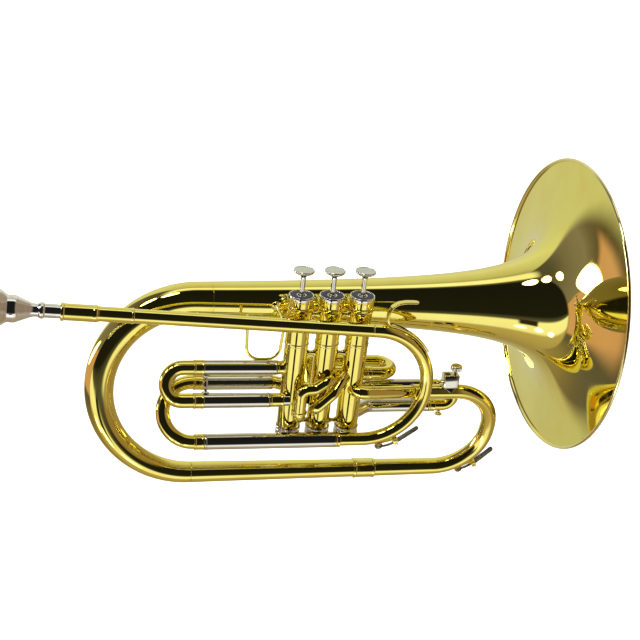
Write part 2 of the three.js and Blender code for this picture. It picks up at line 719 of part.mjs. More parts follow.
const SPRING = { turns: 5.5, radius: 6.6, wireR: 0.6, stepsPerTurn: 6, clearance: JOINT_GAP + 0.7 };

/** A round wire wound into the spring under a piston. */
class SpringLine extends THREE.Curve {
  getPoint(t, target = new THREE.Vector3()) {
    const bottom = BOTTOM_CAP_FLOOR + 2 + SPRING.clearance;
    const height = PISTON_FLOOR - SPRING.clearance - bottom;
    const angle = 2 * Math.PI * SPRING.turns * t;
    return target.set(SPRING.radius * Math.cos(angle), SPRING.radius * Math.sin(angle), bottom + height * t);
  }
}

/** The return spring. */
function spring() {
  const section = new THREE.Shape().absarc(0, 0, SPRING.wireR, 0, 2 * Math.PI);
  return new THREE.ExtrudeGeometry(section, {
    steps: SPRING.turns * SPRING.stepsPerTurn,
    extrudePath: new SpringLine(),
    curveSegments: 2,
    bevelEnabled: false,
  });
}

for (const n of [1, 2, 3]) {
  const x = valveX(n);
  const body = n === 2 ? join(casing(n), ...bridges()) : casing(n);
  add(`valve_casing_${n}`, body, lacquer);
  add(`top_cap_${n}`, topCap().translate(x, 0, 0), silver);
  const feltRing = ring(STEM_R + 1.6, CAP_R - 1.9, CAP_TOP - 1.5, CAP_TOP - 0.1);
  add(`cap_felt_${n}`, feltRing.translate(x, 0, 0), felt);
  add(`bottom_cap_${n}`, bottomCap().translate(x, 0, 0), silver);
  add(`piston_${n}`, piston().translate(x, 0, 0), nickel);
  add(`finger_button_${n}`, fingerButton().translate(x, 0, 0), silver);
  add(`valve_spring_${n}`, faceOut(mergeVertices(spring())).translate(x, 0, 0), steel);
}

// ---------------------------------------------------------------- tubes between the valves

/** A bent tube on the front of the casings, from one casing to the next. */
function crossover(corners, startR, endR) {
  const bendR = 6;
  return cut(pipe(route(corners, bendR, 2), startR, endR), casingRoom(1), casingRoom(2), casingRoom(3));
}

/** From the foot of the first casing: out, up a little way, then slanting to the second casing. */
function frontCrossover() {
  const x = valveX(1) + 5.1;
  const foot = -49;
  return crossover([
    [x + 1.5, -4, foot], [x, -18, foot], [x, -18.2, -19.5],
    [-10, -18.2, -18.5], [3, -16.4, -10.5], [5.5, -5, -9],
  ], TUBE_R, CROSSOVER_R);
}

/** From low on the second casing, slanting up to the third. */
function rearCrossover() {
  return crossover([
    [-5, -3, -43], [-10, -17.4, -42], [8, -17.2, -23.5], [15.5, -10, -15.5], [22, -4, -11.5],
  ], CROSSOVER_R, CROSSOVER_R);
}

add('crossover_front', frontCrossover(), lacquer);
add('crossover_rear', rearCrossover(), lacquer);

// ---------------------------------------------------------------- braces and fittings

/** The turned post between the leadpipe and the bell, with a flange at each end. */
function postBrace() {
  const { x, z } = POST;
  const leadpipeSide = LEADPIPE_Y + LEADPIPE_R + JOINT_GAP;
  const bellSide = BELL_AXIS.y - bellRadius(BELL_EDGE_X - x) - JOINT_GAP;
  const length = bellSide - leadpipeSide;
  const beads = [[0, 0], [4, 0.2], [3.6, 1.4], [1.5, 2.6], [1.5, 6], [2.8, 8], [1.5, 10]];
  const mirrored = beads.map(([radius, s]) => [radius, length - s]).reverse();
  return turned([...beads, ...mirrored], 12).rotateX(-Math.PI / 2).translate(x, leadpipeSide, z);
}

/** The block between the outlet tube and the leadpipe's bow. */
function outletBrace() {
  const bowBack = LEADPIPE_Y + TUBE_R + JOINT_GAP;
  const { x, endY, z, radius } = OUTLET_POST;
  return post([x, bowBack, z], [x, endY, z], radius, 12);
}

/** A bent strip: an [x, z] line given its thickness on the right-hand side, and its width along Y. */
function strip(points, thickness, width) {
  const line = points.map(([x, z]) => new THREE.Vector2(x, z));
  const side = line.map((point, i) => {
    const before = line[Math.max(i - 1, 0)];
    const after = line[Math.min(i + 1, line.length - 1)];
    const along = after.clone().sub(before).normalize();
    return new THREE.Vector2(point.x + along.y * thickness, point.y - along.x * thickness);
  });
  const shape = new THREE.Shape([...line, ...side.reverse()]);
  return new THREE.ExtrudeGeometry(shape, { depth: width, bevelEnabled: false }).rotateX(Math.PI / 2);
}

/** The finger hook: a strip up the bow's shoulder, then rising clear and turning towards the bell. */
function fingerHook() {
  const centreX = LEADPIPE_BOW_X - LEADPIPE_BOW_R;
  const seatR = LEADPIPE_BOW_R + LEADPIPE_R + 2 * JOINT_GAP;
  const line = [];
  for (let degrees = 36; degrees <= 78; degrees += 6) {
    const angle = THREE.MathUtils.degToRad(degrees);
    const radius = degrees < 40 ? seatR + 1.8 : seatR;
    line.push([centreX + radius * Math.cos(angle), LEADPIPE_BOW_CENTRE_Z + radius * Math.sin(angle)]);
  }
  const [x, z] = line.at(-1);
  line.push([x - 2.6, z + 3], [x - 2.8, z + 12], [x - 0.6, z + 18], [x + 4, z + 21.4], [x + 11, z + 22.4]);
  line.push([x + 23, z + 22.8]);
  return strip(line, HOOK_THICKNESS, HOOK_WIDTH).translate(0, LEADPIPE_Y + HOOK_WIDTH / 2, 0);
}

/** The lyre socket: a saddle on the front bow with a square hole for the music holder. */
function lyreSocket() {
  const seat = LYRE.z + 7.5;
  const block = new THREE.BoxGeometry(15, 11, LYRE_TOP - seat)
    .translate(LYRE.x, LYRE.y, (LYRE_TOP + seat) / 2);
  const flange = new THREE.BoxGeometry(20, 12.6, 1.4).translate(LYRE.x, LYRE.y, seat + 0.2);
  const slot = new THREE.BoxGeometry(5.2, 5.2, 30).translate(LYRE_SLOT_X, LYRE.y, LYRE_TOP);
  const screwHole = rod(LYRE_SCREW_R + 0.4, seat + 1.5, LYRE_TOP + 5, 10).translate(LYRE_SCREW_X, LYRE.y, 0);
  const reach = 20;
  const run = FRONT_BOW_X - OUTLET_END[0];
  const [riseY, riseZ] = [(FRONT_BOW_TOP.y - OUTLET_END[1]) / run, (FRONT_BOW_TOP.z - OUTLET_END[2]) / run];
  const pipeRoom = post(
    [LYRE.x - reach, LYRE.y - reach * riseY, LYRE.z - reach * riseZ],
    [LYRE.x + reach, LYRE.y + reach * riseY, LYRE.z + reach * riseZ],
    FRONT_BOW_START_R + 0.8, 12,
  );
  return cut(join(block, flange), slot, screwHole, pipeRoom);
}

/** The lyre's clamping screw, with a flat round head. */
function lyreScrew() {
  const tip = LYRE.z + 10.5;
  const headR = 5.6;
  return turned([
    [0, tip], [LYRE_SCREW_R, tip], [LYRE_SCREW_R, LYRE_TOP + 3], [2.6, LYRE_TOP + 4], [headR, LYRE_TOP + 4.4],
    [headR, LYRE_TOP + 8], [headR - 0.8, LYRE_TOP + 9], [0, LYRE_TOP + 9.4],
  ], 12).translate(LYRE_SCREW_X, LYRE.y, 0);
}

add('post_brace', postBrace(), lacquer);
add('outlet_brace', outletBrace(), lacquer);
add('finger_hook', fingerHook(), lacquer);
add('lyre_socket', lyreSocket(), nickel);
add('lyre_screw', lyreScrew(), nickel);

// ---------------------------------------------------------------- water keys

/**
 * A water key's saddle and spout below a pipe, in its own upright plane: +X along the pipe, the pipe's
 * underside at z = 0. The lever hangs on the saddle's pin.
 */
function keySaddle() {
  const drainR = 1.3;
  const spout = ring(drainR, 3, -2.2, -JOINT_GAP, 12);
  const bridge = new THREE.BoxGeometry(18, 3.4, 1).translate(8.5, 0, -1.1);
  const ears = [-3.9, 3.9].map((y) => new THREE.BoxGeometry(5, 1.4, 5.4).translate(KEY_PIN.x, y, -3.2));
  const yoke = new THREE.BoxGeometry(5, 9.2, 1).translate(KEY_PIN.x, 0, -1.1);
  const drain = rod(drainR, -4, 1, 12);
  return cut(join(spout, bridge, yoke, ...ears), drain);
}

/** The lever: pad cup, arm, barrel round the pin and a finger plate on the far side. */
function keyLever() {
  const cup = rod(3.9, -5.6, -2.5, 14);
  const arm = new THREE.BoxGeometry(KEY_PIN.x, 2.2, 1.5).translate(KEY_PIN.x / 2, 0, -5.2);
  const barrel = rod(1.7, -2.9, 2.9, 10).rotateX(Math.PI / 2).translate(KEY_PIN.x, 0, KEY_PIN.z);
  const plate = new THREE.BoxGeometry(25, 5.6, 1.4).translate(13, 0, 0)
    .rotateY(THREE.MathUtils.degToRad(-KEY_PLATE_ANGLE)).translate(KEY_PIN.x, 0, KEY_PIN.z);
  return join(cup, arm, barrel, plate);
}

/** Hangs a water key on the outside of a bow, where the bow's slope and sideways lean are given. */
function hang(geometry, { centre, pipeR, slope, lean }) {
  return geometry.translate(0, 0, -pipeR - JOINT_GAP)
    .rotateY(THREE.MathUtils.degToRad(-slope))
    .rotateX(THREE.MathUtils.degToRad(lean))
    .translate(...centre);
}

/** The point of a bow's lower corner where it slopes by so many degrees. */
function lowerBowPoint(corner, radius, slope, lean) {
  const [angle, tilt] = [slope, lean].map(THREE.MathUtils.degToRad);
  const drop = radius * (1 - Math.cos(angle));
  return [
    corner.x - radius * (1 - Math.sin(angle)),
    corner.y - drop * Math.sin(tilt),
    corner.z + drop * Math.cos(tilt),
  ];
}

const LEAD_KEY = { slope: 16, lean: 0, pipeR: TUBE_R };
const BOW_KEY = { slope: 30, lean: 11.3, pipeR: 8.2 };
LEAD_KEY.centre = lowerBowPoint({ x: LEADPIPE_BOW_X, ...TUNING_LOWER }, LEADPIPE_BOW_R, LEAD_KEY.slope, 0);
BOW_KEY.centre = lowerBowPoint({ x: FRONT_BOW_X, ...BRANCH }, FRONT_BOW_R, BOW_KEY.slope, BOW_KEY.lean);
[LEAD_KEY, BOW_KEY].forEach((place, i) => {
  add(`water_key_saddle_${i + 1}`, hang(keySaddle(), place), lacquer);
  add(`water_key_lever_${i + 1}`, hang(keyLever(), place), steel);
});

export default horn;
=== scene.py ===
"""The looks of a marching baritone horn with three piston valves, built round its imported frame.

Every size in the classes is in millimetres in the row frame: +X runs to the bell, +Z up along the
valves, +Y to the bell's side, and the origin lies on the second valve's axis. Meshes are written in
metres. A shape is either a profile turned about a line, or a section carried along a path.
"""

import logging
import math
from dataclasses import dataclass, field
from enum import Enum
from typing import Optional, Sequence

import bpy
import numpy as np
from mathutils import Matrix


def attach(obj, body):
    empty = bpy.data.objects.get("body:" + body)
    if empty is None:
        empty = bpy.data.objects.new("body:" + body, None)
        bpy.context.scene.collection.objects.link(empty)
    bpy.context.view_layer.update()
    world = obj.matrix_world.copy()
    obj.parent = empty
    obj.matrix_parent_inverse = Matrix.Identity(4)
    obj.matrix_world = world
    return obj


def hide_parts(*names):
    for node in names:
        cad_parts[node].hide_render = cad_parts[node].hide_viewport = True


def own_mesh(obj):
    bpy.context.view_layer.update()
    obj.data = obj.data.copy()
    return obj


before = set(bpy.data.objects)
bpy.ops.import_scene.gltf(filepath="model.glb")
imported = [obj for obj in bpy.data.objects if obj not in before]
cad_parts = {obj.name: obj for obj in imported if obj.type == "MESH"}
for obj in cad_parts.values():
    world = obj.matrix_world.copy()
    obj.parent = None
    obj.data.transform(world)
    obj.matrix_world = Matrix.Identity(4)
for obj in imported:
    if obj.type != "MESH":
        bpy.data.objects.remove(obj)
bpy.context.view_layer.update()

MM = 0.001
GAP = 0.3
CASING_PITCH = 27.6  # from one valve's axis to the next
CASING_X = (-CASING_PITCH, 0.0, CASING_PITCH)
CASING_R = 10.6
CASING_WALL_R = 10.05  # the middle of a valve casing's wall
BELL_AXIS = (41.0, 41.0)  # the (y, z) of the bell's axis
BELL_TAIL_X = -100.0
log = logging.getLogger("horn")
Point = Sequence[float]


# ------------------------------------------------------------------ surfaces worked out with numpy


@dataclass
class Surface:
    """A grid of points whose columns close round on themselves.

    Args:
        points: rows by columns by three, in millimetres.
        run: the distance of each row along its line, in millimetres.
        edge: how exposed each row is to rubbing, from 0 to 1.
        joint: how near each row lies to a soldered joint, from 0 to 1.
        closed: whether the last row joins the first.
    """

    points: np.ndarray
    run: np.ndarray
    edge: np.ndarray
    joint: np.ndarray
    closed: bool

    def moved(self, turn: np.ndarray, offset: Point) -> "Surface":
        """The same surface after a rotation about the origin and a shift."""
        points = self.points @ np.asarray(turn).T + np.asarray(offset, float)
        return Surface(points, self.run, self.edge, self.joint, self.closed)


def unit(vectors: np.ndarray) -> np.ndarray:
    """Vectors scaled to length one along their last axis."""
    vectors = np.asarray(vectors, float)
    return vectors / np.linalg.norm(vectors, axis=-1, keepdims=True)


@dataclass
class Path:
    """A centre line of straight runs, each corner rounded to one radius.

    Args:
        corners: the corner points, in millimetres.
        bend: the radius of each rounded corner.
    """

    corners: Sequence[Point]
    bend: float = 0.0
    points: np.ndarray = field(init=False)
    headings: np.ndarray = field(init=False)
    runs: np.ndarray = field(init=False)

    def __post_init__(self) -> None:
        """Lays arcs of the bend radius into the corners: start + R sin(a) into + R (1 - cos(a)) side."""
        corners = np.asarray(self.corners, float)
        ways = unit(np.diff(corners, axis=0))
        points, headings = [corners[:1]], [ways[:1]]
        for corner, into, out in zip(corners[1:-1], ways[:-1], ways[1:]):
            turn = math.acos(float(np.clip(into @ out, -1, 1)))
            if turn < 1e-3 or self.bend <= 0:
                points.append(corner[None])
                headings.append(unit(into + out)[None])
                continue
            angle = np.linspace(0, turn, max(4, int(turn / 0.03)))[:, None]
            side = unit(out - math.cos(turn) * into)
            start = corner - into * self.bend * math.tan(turn / 2)
            points.append(start + self.bend * (np.sin(angle) * into + (1 - np.cos(angle)) * side))
            headings.append(np.cos(angle) * into + np.sin(angle) * side)
        points.append(corners[-1:])
        headings.append(ways[-1:])
        line, way = np.concatenate(points), np.concatenate(headings)
        steps = np.linalg.norm(np.diff(line, axis=0), axis=1)
        keep = np.concatenate([[True], steps > 1e-3])
        self.points, self.headings = line[keep], way[keep]
        self.runs = np.concatenate([[0], np.cumsum(np.linalg.norm(np.diff(self.points, axis=0), axis=1))])

    @property
    def length(self) -> float:
        """The whole run of the line."""
        return float(self.runs[-1])

    def place(self, run: np.ndarray) -> tuple[np.ndarray, np.ndarray]:
        """The points and directions at distances along the line; past its ends it runs on straight."""
        at = np.stack([np.interp(run, self.runs, self.points[:, k]) for k in range(3)], axis=-1)
        way = unit(np.stack([np.interp(run, self.runs, self.headings[:, k]) for k in range(3)], axis=-1))
        beyond = (run - np.clip(run, 0, self.length))[:, None]
        return at + way * beyond, way

    def reference(self) -> np.ndarray:
        """The direction square to the line's plane, or any direction square to a straight line."""
        spread = self.points - self.points.mean(axis=0)
        _, sizes, rows = np.linalg.svd(spread, full_matrices=False)
        if len(sizes) < 3 or sizes[1] < 0.02 * sizes[0]:
            helper = np.array([0.0, 1.0, 0.0] if abs(self.headings[0][1]) < 0.8 else [1.0, 0.0, 0.0])
            return unit(np.cross(self.headings[0], helper))
        return rows[2]


def carry(path: Path, run: np.ndarray, sections: np.ndarray, edge: Optional[np.ndarray] = None,
          joint: Optional[np.ndarray] = None, closed: bool = True,
          reference: Optional[Point] = None) -> Surface:
    """Carries flat sections along a path.

    Formula: point(i, j) = centre(run i) + a(i, j) A(i) + b(i, j) B(i), where A is the reference
    direction made square to the path there and B is the path's direction crossed with A.

    Args:
        path: the centre line.
        run: each row's distance along it.
        sections: rows by columns by two, the section's (a, b) coordinates.
        edge: each row's exposure to rubbing.
        joint: each row's nearness to a soldered joint.
        closed: whether the last row joins the first.
        reference: the direction that A follows; the path's own when left out.

    Returns:
        The surface.
    """
    centre, way = path.place(run)
    lead = np.asarray(path.reference() if reference is None else reference, float)
    across = unit(lead - (way @ lead)[:, None] * way)
    up = np.cross(way, across)
    points = centre[:, None] + sections[..., :1] * across[:, None] + sections[..., 1:] * up[:, None]
    none = np.zeros(len(run))
    return Surface(points, run, none if edge is None else edge, none if joint is None else joint, closed)


def circle(radius: np.ndarray, sides: int, teeth: int = 0, depth: Optional[np.ndarray] = None) -> np.ndarray:
    """Round sections: (r cos, r sin), with r lowered by depth times a raised cosine of the teeth."""
    angle = np.linspace(0, 2 * math.pi, sides, endpoint=False)
    reach = np.repeat(np.asarray(radius, float)[:, None], sides, axis=1)
    if teeth:
        reach = reach - depth[:, None] * (0.5 - 0.5 * np.cos(teeth * angle))[None]
    return np.stack([reach * np.cos(angle), reach * np.sin(angle)], axis=-1)


def soften(outline: np.ndarray, radius: float, steps: int = 3) -> tuple[np.ndarray, np.ndarray]:
    """Rounds the inner corners of an open outline.

    Formula: each corner C becomes the curve (1 - t)^2 P + 2 t (1 - t) C + t^2 Q, with P and Q on its
    two sides at the rounding radius or 0.42 of the side, whichever is less. A plain point lies just
    outside each end of the curve, so the flats beside it stay flat in the shading.

    Args:
        outline: points by two.
        radius: the rounding radius.
        steps: how many pieces each curve has.

    Returns:
        The rounded outline, and 1 where it is part of a rounding, else 0.
    """
    before, corner, after = outline[:-2], outline[1:-1], outline[2:]
    into, out = corner - before, after - corner
    long_in = np.linalg.norm(into, axis=1, keepdims=True)
    long_out = np.linalg.norm(out, axis=1, keepdims=True)
    into, out = into / long_in, out / long_out
    back = np.minimum(radius, 0.42 * np.minimum(long_in, long_out))
    t = np.linspace(0, 1, steps + 1)[None, :, None]
    start, end = corner - into * back, corner + out * back
    curve = (1 - t) ** 2 * start[:, None] + 2 * t * (1 - t) * corner[:, None] + t ** 2 * end[:, None]
    guard = 0.16 * back
    rows = np.concatenate([(start - into * guard)[:, None], curve, (end + out * guard)[:, None]], axis=1)
    worn = np.tile(np.concatenate([[0], np.ones(steps + 1), [0]]), len(corner))
    points = np.concatenate([outline[:1], rows.reshape(-1, 2), outline[-1:]])
    return points, np.concatenate([[0], worn, [0]])


def turning(outline: Sequence[Point], axis: Path, sides: int = 64, rounding: float = 0.25,
            teeth: int = 0, bands: Sequence[Point] = (), depth: float = 0.25) -> Surface:
    """A lathe turning: a (radius, distance) outline carried round a straight axis.

    An outline that starts and ends at radius 0 closes in poles; any other is a closed loop. Where
    the distance lies within a band, the radius is cut by the teeth of a knurl.

    Args:
        outline: the (radius, distance) corners in order.
        axis: the straight axis the distances count along.
        sides: points round the turning.
        rounding: the radius that softens each corner.
        teeth: how many teeth the knurl has.
        bands: the (from, to) distances that are knurled.
        depth: how deep the teeth are.

    Returns:
        The closed surface.
    """
    line = np.asarray(outline, float)
    solid = line[0][0] < 1e-6 and line[-1][0] < 1e-6
    if not solid:
        start = (line[0] + line[1]) / 2
        line = np.concatenate([[start], line[1:], line[:1], [start]])
    smooth, worn = soften(line, rounding)
    if not solid:
        smooth, worn = smooth[:-1], worn[:-1]
    cutting = np.zeros(len(smooth))
    for low, high in bands:
        inside = np.clip(np.minimum(smooth[:, 1] - low, high - smooth[:, 1]) / 0.3, 0, 1)
        cutting = np.maximum(cutting, inside * depth)
    sections = circle(smooth[:, 0], sides, teeth, cutting)
    return carry(axis, smooth[:, 1], sections, edge=worn, closed=not solid)


def tube(path: Path, start: float, end: Optional[float] = None, wall: float = 0.7, sides: int = 64,
         step: float = 2.0, swell: Sequence[Point] = ()) -> Surface:
    """A drawn tube along a path, with its bore and a rounded lip at each end.

    Formula: the outer radius runs evenly from start to end, plus swells, each a raised cosine
    h (0.5 + 0.5 cos(pi d / w)) of the distance d from its middle; the lips are half circles.

    Args:
        path: the centre line.
        start: the outer radius at the start.
        end: the outer radius at the end.
        wall: the wall's thickness.
        sides: points round the tube.
        step: the spacing of the rows outside.
        swell: (distance, height, half width) of each swelling.

    Returns:
        The closed surface.
    """
    end = start if end is None else end
    length, lip = path.length, wall / 2
    outer = np.linspace(lip, length - lip, max(6, int(length / step)))
    inner = np.linspace(length - lip, lip, max(5, int(length / (3 * step))))
    arc = np.linspace(0, math.pi, 7)[1:-1]

    def radius(run: np.ndarray) -> np.ndarray:
        """The outer radius at a distance."""
        reach = start + (end - start) * np.clip(run / length, 0, 1)
        for middle, height, half in swell:
            far = np.clip(np.abs(run - middle) / half, 0, 1)
            reach = reach + height * (0.5 + 0.5 * np.cos(math.pi * far))
        return reach

    extra = [middle + half * k / 6 for middle, _, half in swell for k in range(-6, 7)]
    outer = np.unique(np.concatenate([outer, [x for x in extra if lip < x < length - lip]]))
    run = np.concatenate([outer, length - lip + lip * np.sin(arc), inner, lip - lip * np.sin(arc)])
    reach = np.concatenate([
        radius(outer), radius(outer[-1:]) - lip + lip * np.cos(arc),
        start + (end - start) * inner / length - wall,
        start - lip - lip * np.cos(arc),
    ])
    worn = np.zeros(len(run))
    worn[len(outer):len(outer) + len(arc)] = 1
    worn[-len(arc):] = 1
    near = np.exp(-np.minimum(np.abs(run), np.abs(length - run)) / 3.0)
    return carry(path, run, circle(reach, sides), worn, near)


def entering(surface: Surface, path: Path) -> Surface:
    """Shapes a tube's ends to the round valve casings that they run into.

    Formula: a point p inside a casing's wall moves along the tube's own end direction d to p + t d,
    where t solves |p + t d| = the wall's middle radius, both taken level.

    Args:
        surface: the tube.
        path: its centre line.

    Returns:
        The tube with saddle-shaped ends.
    """
    points = surface.points.copy()
    _, ways = path.place(np.array([0.0, path.length]))
    first_half = surface.run < path.length / 2
    for outwards, rows in ((ways[0], first_half), (-ways[1], ~first_half)):
        size = float(np.hypot(outwards[0], outwards[1]))
        level_way = outwards[:2] / size
        for x in CASING_X:
            flat = points[..., :2] - (x, 0)
            short = CASING_WALL_R ** 2 - (flat ** 2).sum(-1)
            inside = (short > 0) & rows[:, None]
            along = flat @ level_way
            shift = np.where(inside, np.sqrt(np.maximum(along ** 2 + short, 0)) - along, 0)
            points = points + (shift / size)[..., None] * outwards
    return Surface(points, surface.run, surface.edge, surface.joint, surface.closed)


def bar(path: Path, radius: float, sides: int = 24, step: float = 1.0, tip: float = 1.0,
        reference: Optional[Point] = None) -> Surface:
    """A solid round bar along a path, its ends drawn in on an ellipse to a pole.

    Args:
        path: the centre line.
        radius: the bar's radius.
        sides: points round the bar.
        step: the spacing of the rows.
        tip: how far the rounded end reaches along the bar, as a share of the radius.
        reference: the direction that the seam column follows.

    Returns:
        The closed surface.
    """
    length, reach = path.length, radius * tip
    arc = np.linspace(0, math.pi / 2, 6)
    body = np.linspace(reach, length - reach, max(4, int(length / step)))[1:-1]
    run = np.concatenate([reach * (1 - np.cos(arc)), body, length - reach * (1 - np.cos(arc[::-1]))])
    size = np.concatenate([np.sin(arc), np.ones(len(body)), np.sin(arc[::-1])])
    size = size * radius
    size[0] = size[-1] = 0
    worn = np.concatenate([np.ones(len(arc)), np.zeros(len(body)), np.ones(len(arc))]) * 0.7
    return carry(path, run, circle(size, sides), worn, None, False, reference)


def rounded_rectangle(width: np.ndarray, height: np.ndarray, radius: np.ndarray,
                      per_corner: int = 5) -> np.ndarray:
    """Rectangular sections with rounded corners: corner centre plus r (cos, sin) of its own quarter.

    Args:
        width: each row's full width.
        height: each row's full height.
        radius: each row's corner radius.
        per_corner: points in each corner.

    Returns:
        Rows by columns by two.
    """
    width, height, radius = np.broadcast_arrays(*(np.asarray(v, float) for v in (width, height, radius)))
    quarter = np.linspace(0, math.pi / 2, per_corner)
    angle = np.concatenate([quarter + k * math.pi / 2 for k in range(4)])
    sign_a = np.repeat([1, -1, -1, 1], per_corner)
    sign_b = np.repeat([1, 1, -1, -1], per_corner)
    half_a, half_b = (width / 2 - radius)[:, None], (height / 2 - radius)[:, None]
    a = sign_a * half_a + radius[:, None] * np.cos(angle)
    b = sign_b * half_b + radius[:, None] * np.sin(angle)
    return np.stack([a, b], axis=-1)


def strap(path: Path, width: float, thickness: float, rounding: float = 0.35, step: float = 1.0,
          narrow: float = 1.0, round_tip: bool = False, reference: Optional[Point] = None) -> Surface:
    """A flat bar of rectangular section along a path, its edges and ends softened.

    Formula: the section keeps its size between the ends and draws in there by r (1 - sin t) over a
    run of r (1 - cos t); a round tip also narrows the width on a half circle.

    Args:
        path: the centre line.
        width: the size along the reference direction.
        thickness: the size across it.
        rounding: the edge radius.
        step: the spacing of the rows.
        narrow: the far end's width as a share of the near one's.
        round_tip: whether the far end is a half circle seen from above.
        reference: the direction of the width.

    Returns:
        The closed surface.
    """
    length = path.length
    soft = min(rounding, 0.45 * thickness, 0.45 * width)
    t = np.linspace(0, math.pi / 2, 5)
    body = np.linspace(soft, length - soft, max(4, int(length / step)))[1:-1]
    if round_tip:
        reach = width * narrow / 2
        drawn_in = length - reach * (1 - np.sin(np.linspace(0, 1.5, 14)))
        body = np.unique(np.concatenate([body[body < length - reach], drawn_in]))
        body = body[body < length - soft * 1.01]
    run = np.concatenate([[0], soft * (1 - np.cos(t)), body, length - soft * (1 - np.cos(t[::-1])), [length]])
    inset = np.concatenate([[soft], soft * (1 - np.sin(t)), np.zeros(len(body)), soft * (1 - np.sin(t[::-1])),
                            [soft]])
    wide = width * (1 + (narrow - 1) * run / length)
    if round_tip:
        past = np.clip((run - (length - width * narrow / 2)) / (width * narrow / 2), 0, 0.995)
        wide = wide * np.sqrt(1 - past ** 2)
    small = np.minimum(soft, 0.45 * wide)
    sections = rounded_rectangle(wide - 2 * np.minimum(inset, small), thickness - 2 * inset,
                                 np.maximum(small - inset, 0.01))
    sections[0], sections[-1] = 0, 0
    worn = np.concatenate([[0], np.ones(len(t)), np.full(len(body), 0.25), np.ones(len(t)), [0]])
    return carry(path, run, sections, worn, None, False, reference)


def block(low: Point, high: Point, rounding: float = 0.4) -> Surface:
    """A rounded box between two opposite corners, its longest way along X, Y or Z."""
    low, high = np.asarray(low, float), np.asarray(high, float)
    size, middle = high - low, (low + high) / 2
    main = int(np.argmax(size))
    side = (main + 1) % 3
    ends = np.stack([middle, middle])
    ends[0][main], ends[1][main] = low[main], high[main]
    lead = np.eye(3)[side]
    return strap(Path(ends), size[side], size[3 - main - side], rounding, max(1.0, size[main] / 12),
                 reference=lead)


def turn_about(axis: str, degrees: float) -> np.ndarray:
    """The rotation matrix about X or Y by an angle, the right-handed way."""
    c, s = math.cos(math.radians(degrees)), math.sin(math.radians(degrees))
    rows = {
        "X": [[1, 0, 0], [0, c, -s], [0, s, c]],
        "Y": [[c, 0, s], [0, 1, 0], [-s, 0, c]],
    }
    return np.array(rows[axis], float)


def signed_volume(points: np.ndarray, faces: np.ndarray) -> float:
    """The volume that triangles enclose: the sum of a . (b x c) / 6, above 0 when they face outwards."""
    a, b, c = (points[faces[:, k]] for k in range(3))
    return float(np.einsum("ij,ij->i", a, np.cross(b, c)).sum() / 6)


def grid_faces(surface: Surface) -> tuple[np.ndarray, np.ndarray, np.ndarray, np.ndarray]:
    """The vertices and faces of one surface.

    A row whose points all coincide becomes one pole, and its quads become triangles.

    Returns:
        Vertices, the row of each vertex, quads with their (row, column), and triangles with theirs.
    """
    rows, cols = surface.points.shape[:2]
    spread = np.abs(surface.points - surface.points[:, :1]).max(axis=(1, 2))
    pole = spread < 1e-6
    width = np.where(pole, 1, cols)
    first = np.concatenate([[0], np.cumsum(width)[:-1]])
    column = np.arange(cols)
    index = first[:, None] + np.where(pole[:, None], 0, column[None])
    keep = ~pole[:, None] | (column[None] == 0)
    vertices = surface.points[keep]
    row_of = np.repeat(np.arange(rows), cols).reshape(rows, cols)[keep]
    low = np.arange(rows if surface.closed else rows - 1)
    high = (low + 1) % rows
    nxt = (column + 1) % cols
    quads = np.stack([index[low][:, column], index[low][:, nxt], index[high][:, nxt], index[high][:, column]],
                     axis=-1)
    where = np.stack(np.broadcast_arrays(low[:, None], column[None]), axis=-1)
    flat_low, flat_high = pole[low], pole[high]
    whole = ~(flat_low | flat_high)
    fans_low = quads[flat_low & ~flat_high][..., [0, 2, 3]].reshape(-1, 3)
    fans_high = quads[flat_high & ~flat_low][..., [0, 1, 2]].reshape(-1, 3)
    triangles = np.concatenate([fans_low, fans_high])
    spots = np.concatenate([where[flat_low & ~flat_high].reshape(-1, 2),
                            where[flat_high & ~flat_low].reshape(-1, 2)])
    quads = np.concatenate([quads[whole].reshape(-1, 4), where[whole].reshape(-1, 2)], axis=1)
    return vertices, row_of, quads, np.concatenate([triangles, spots], axis=1)


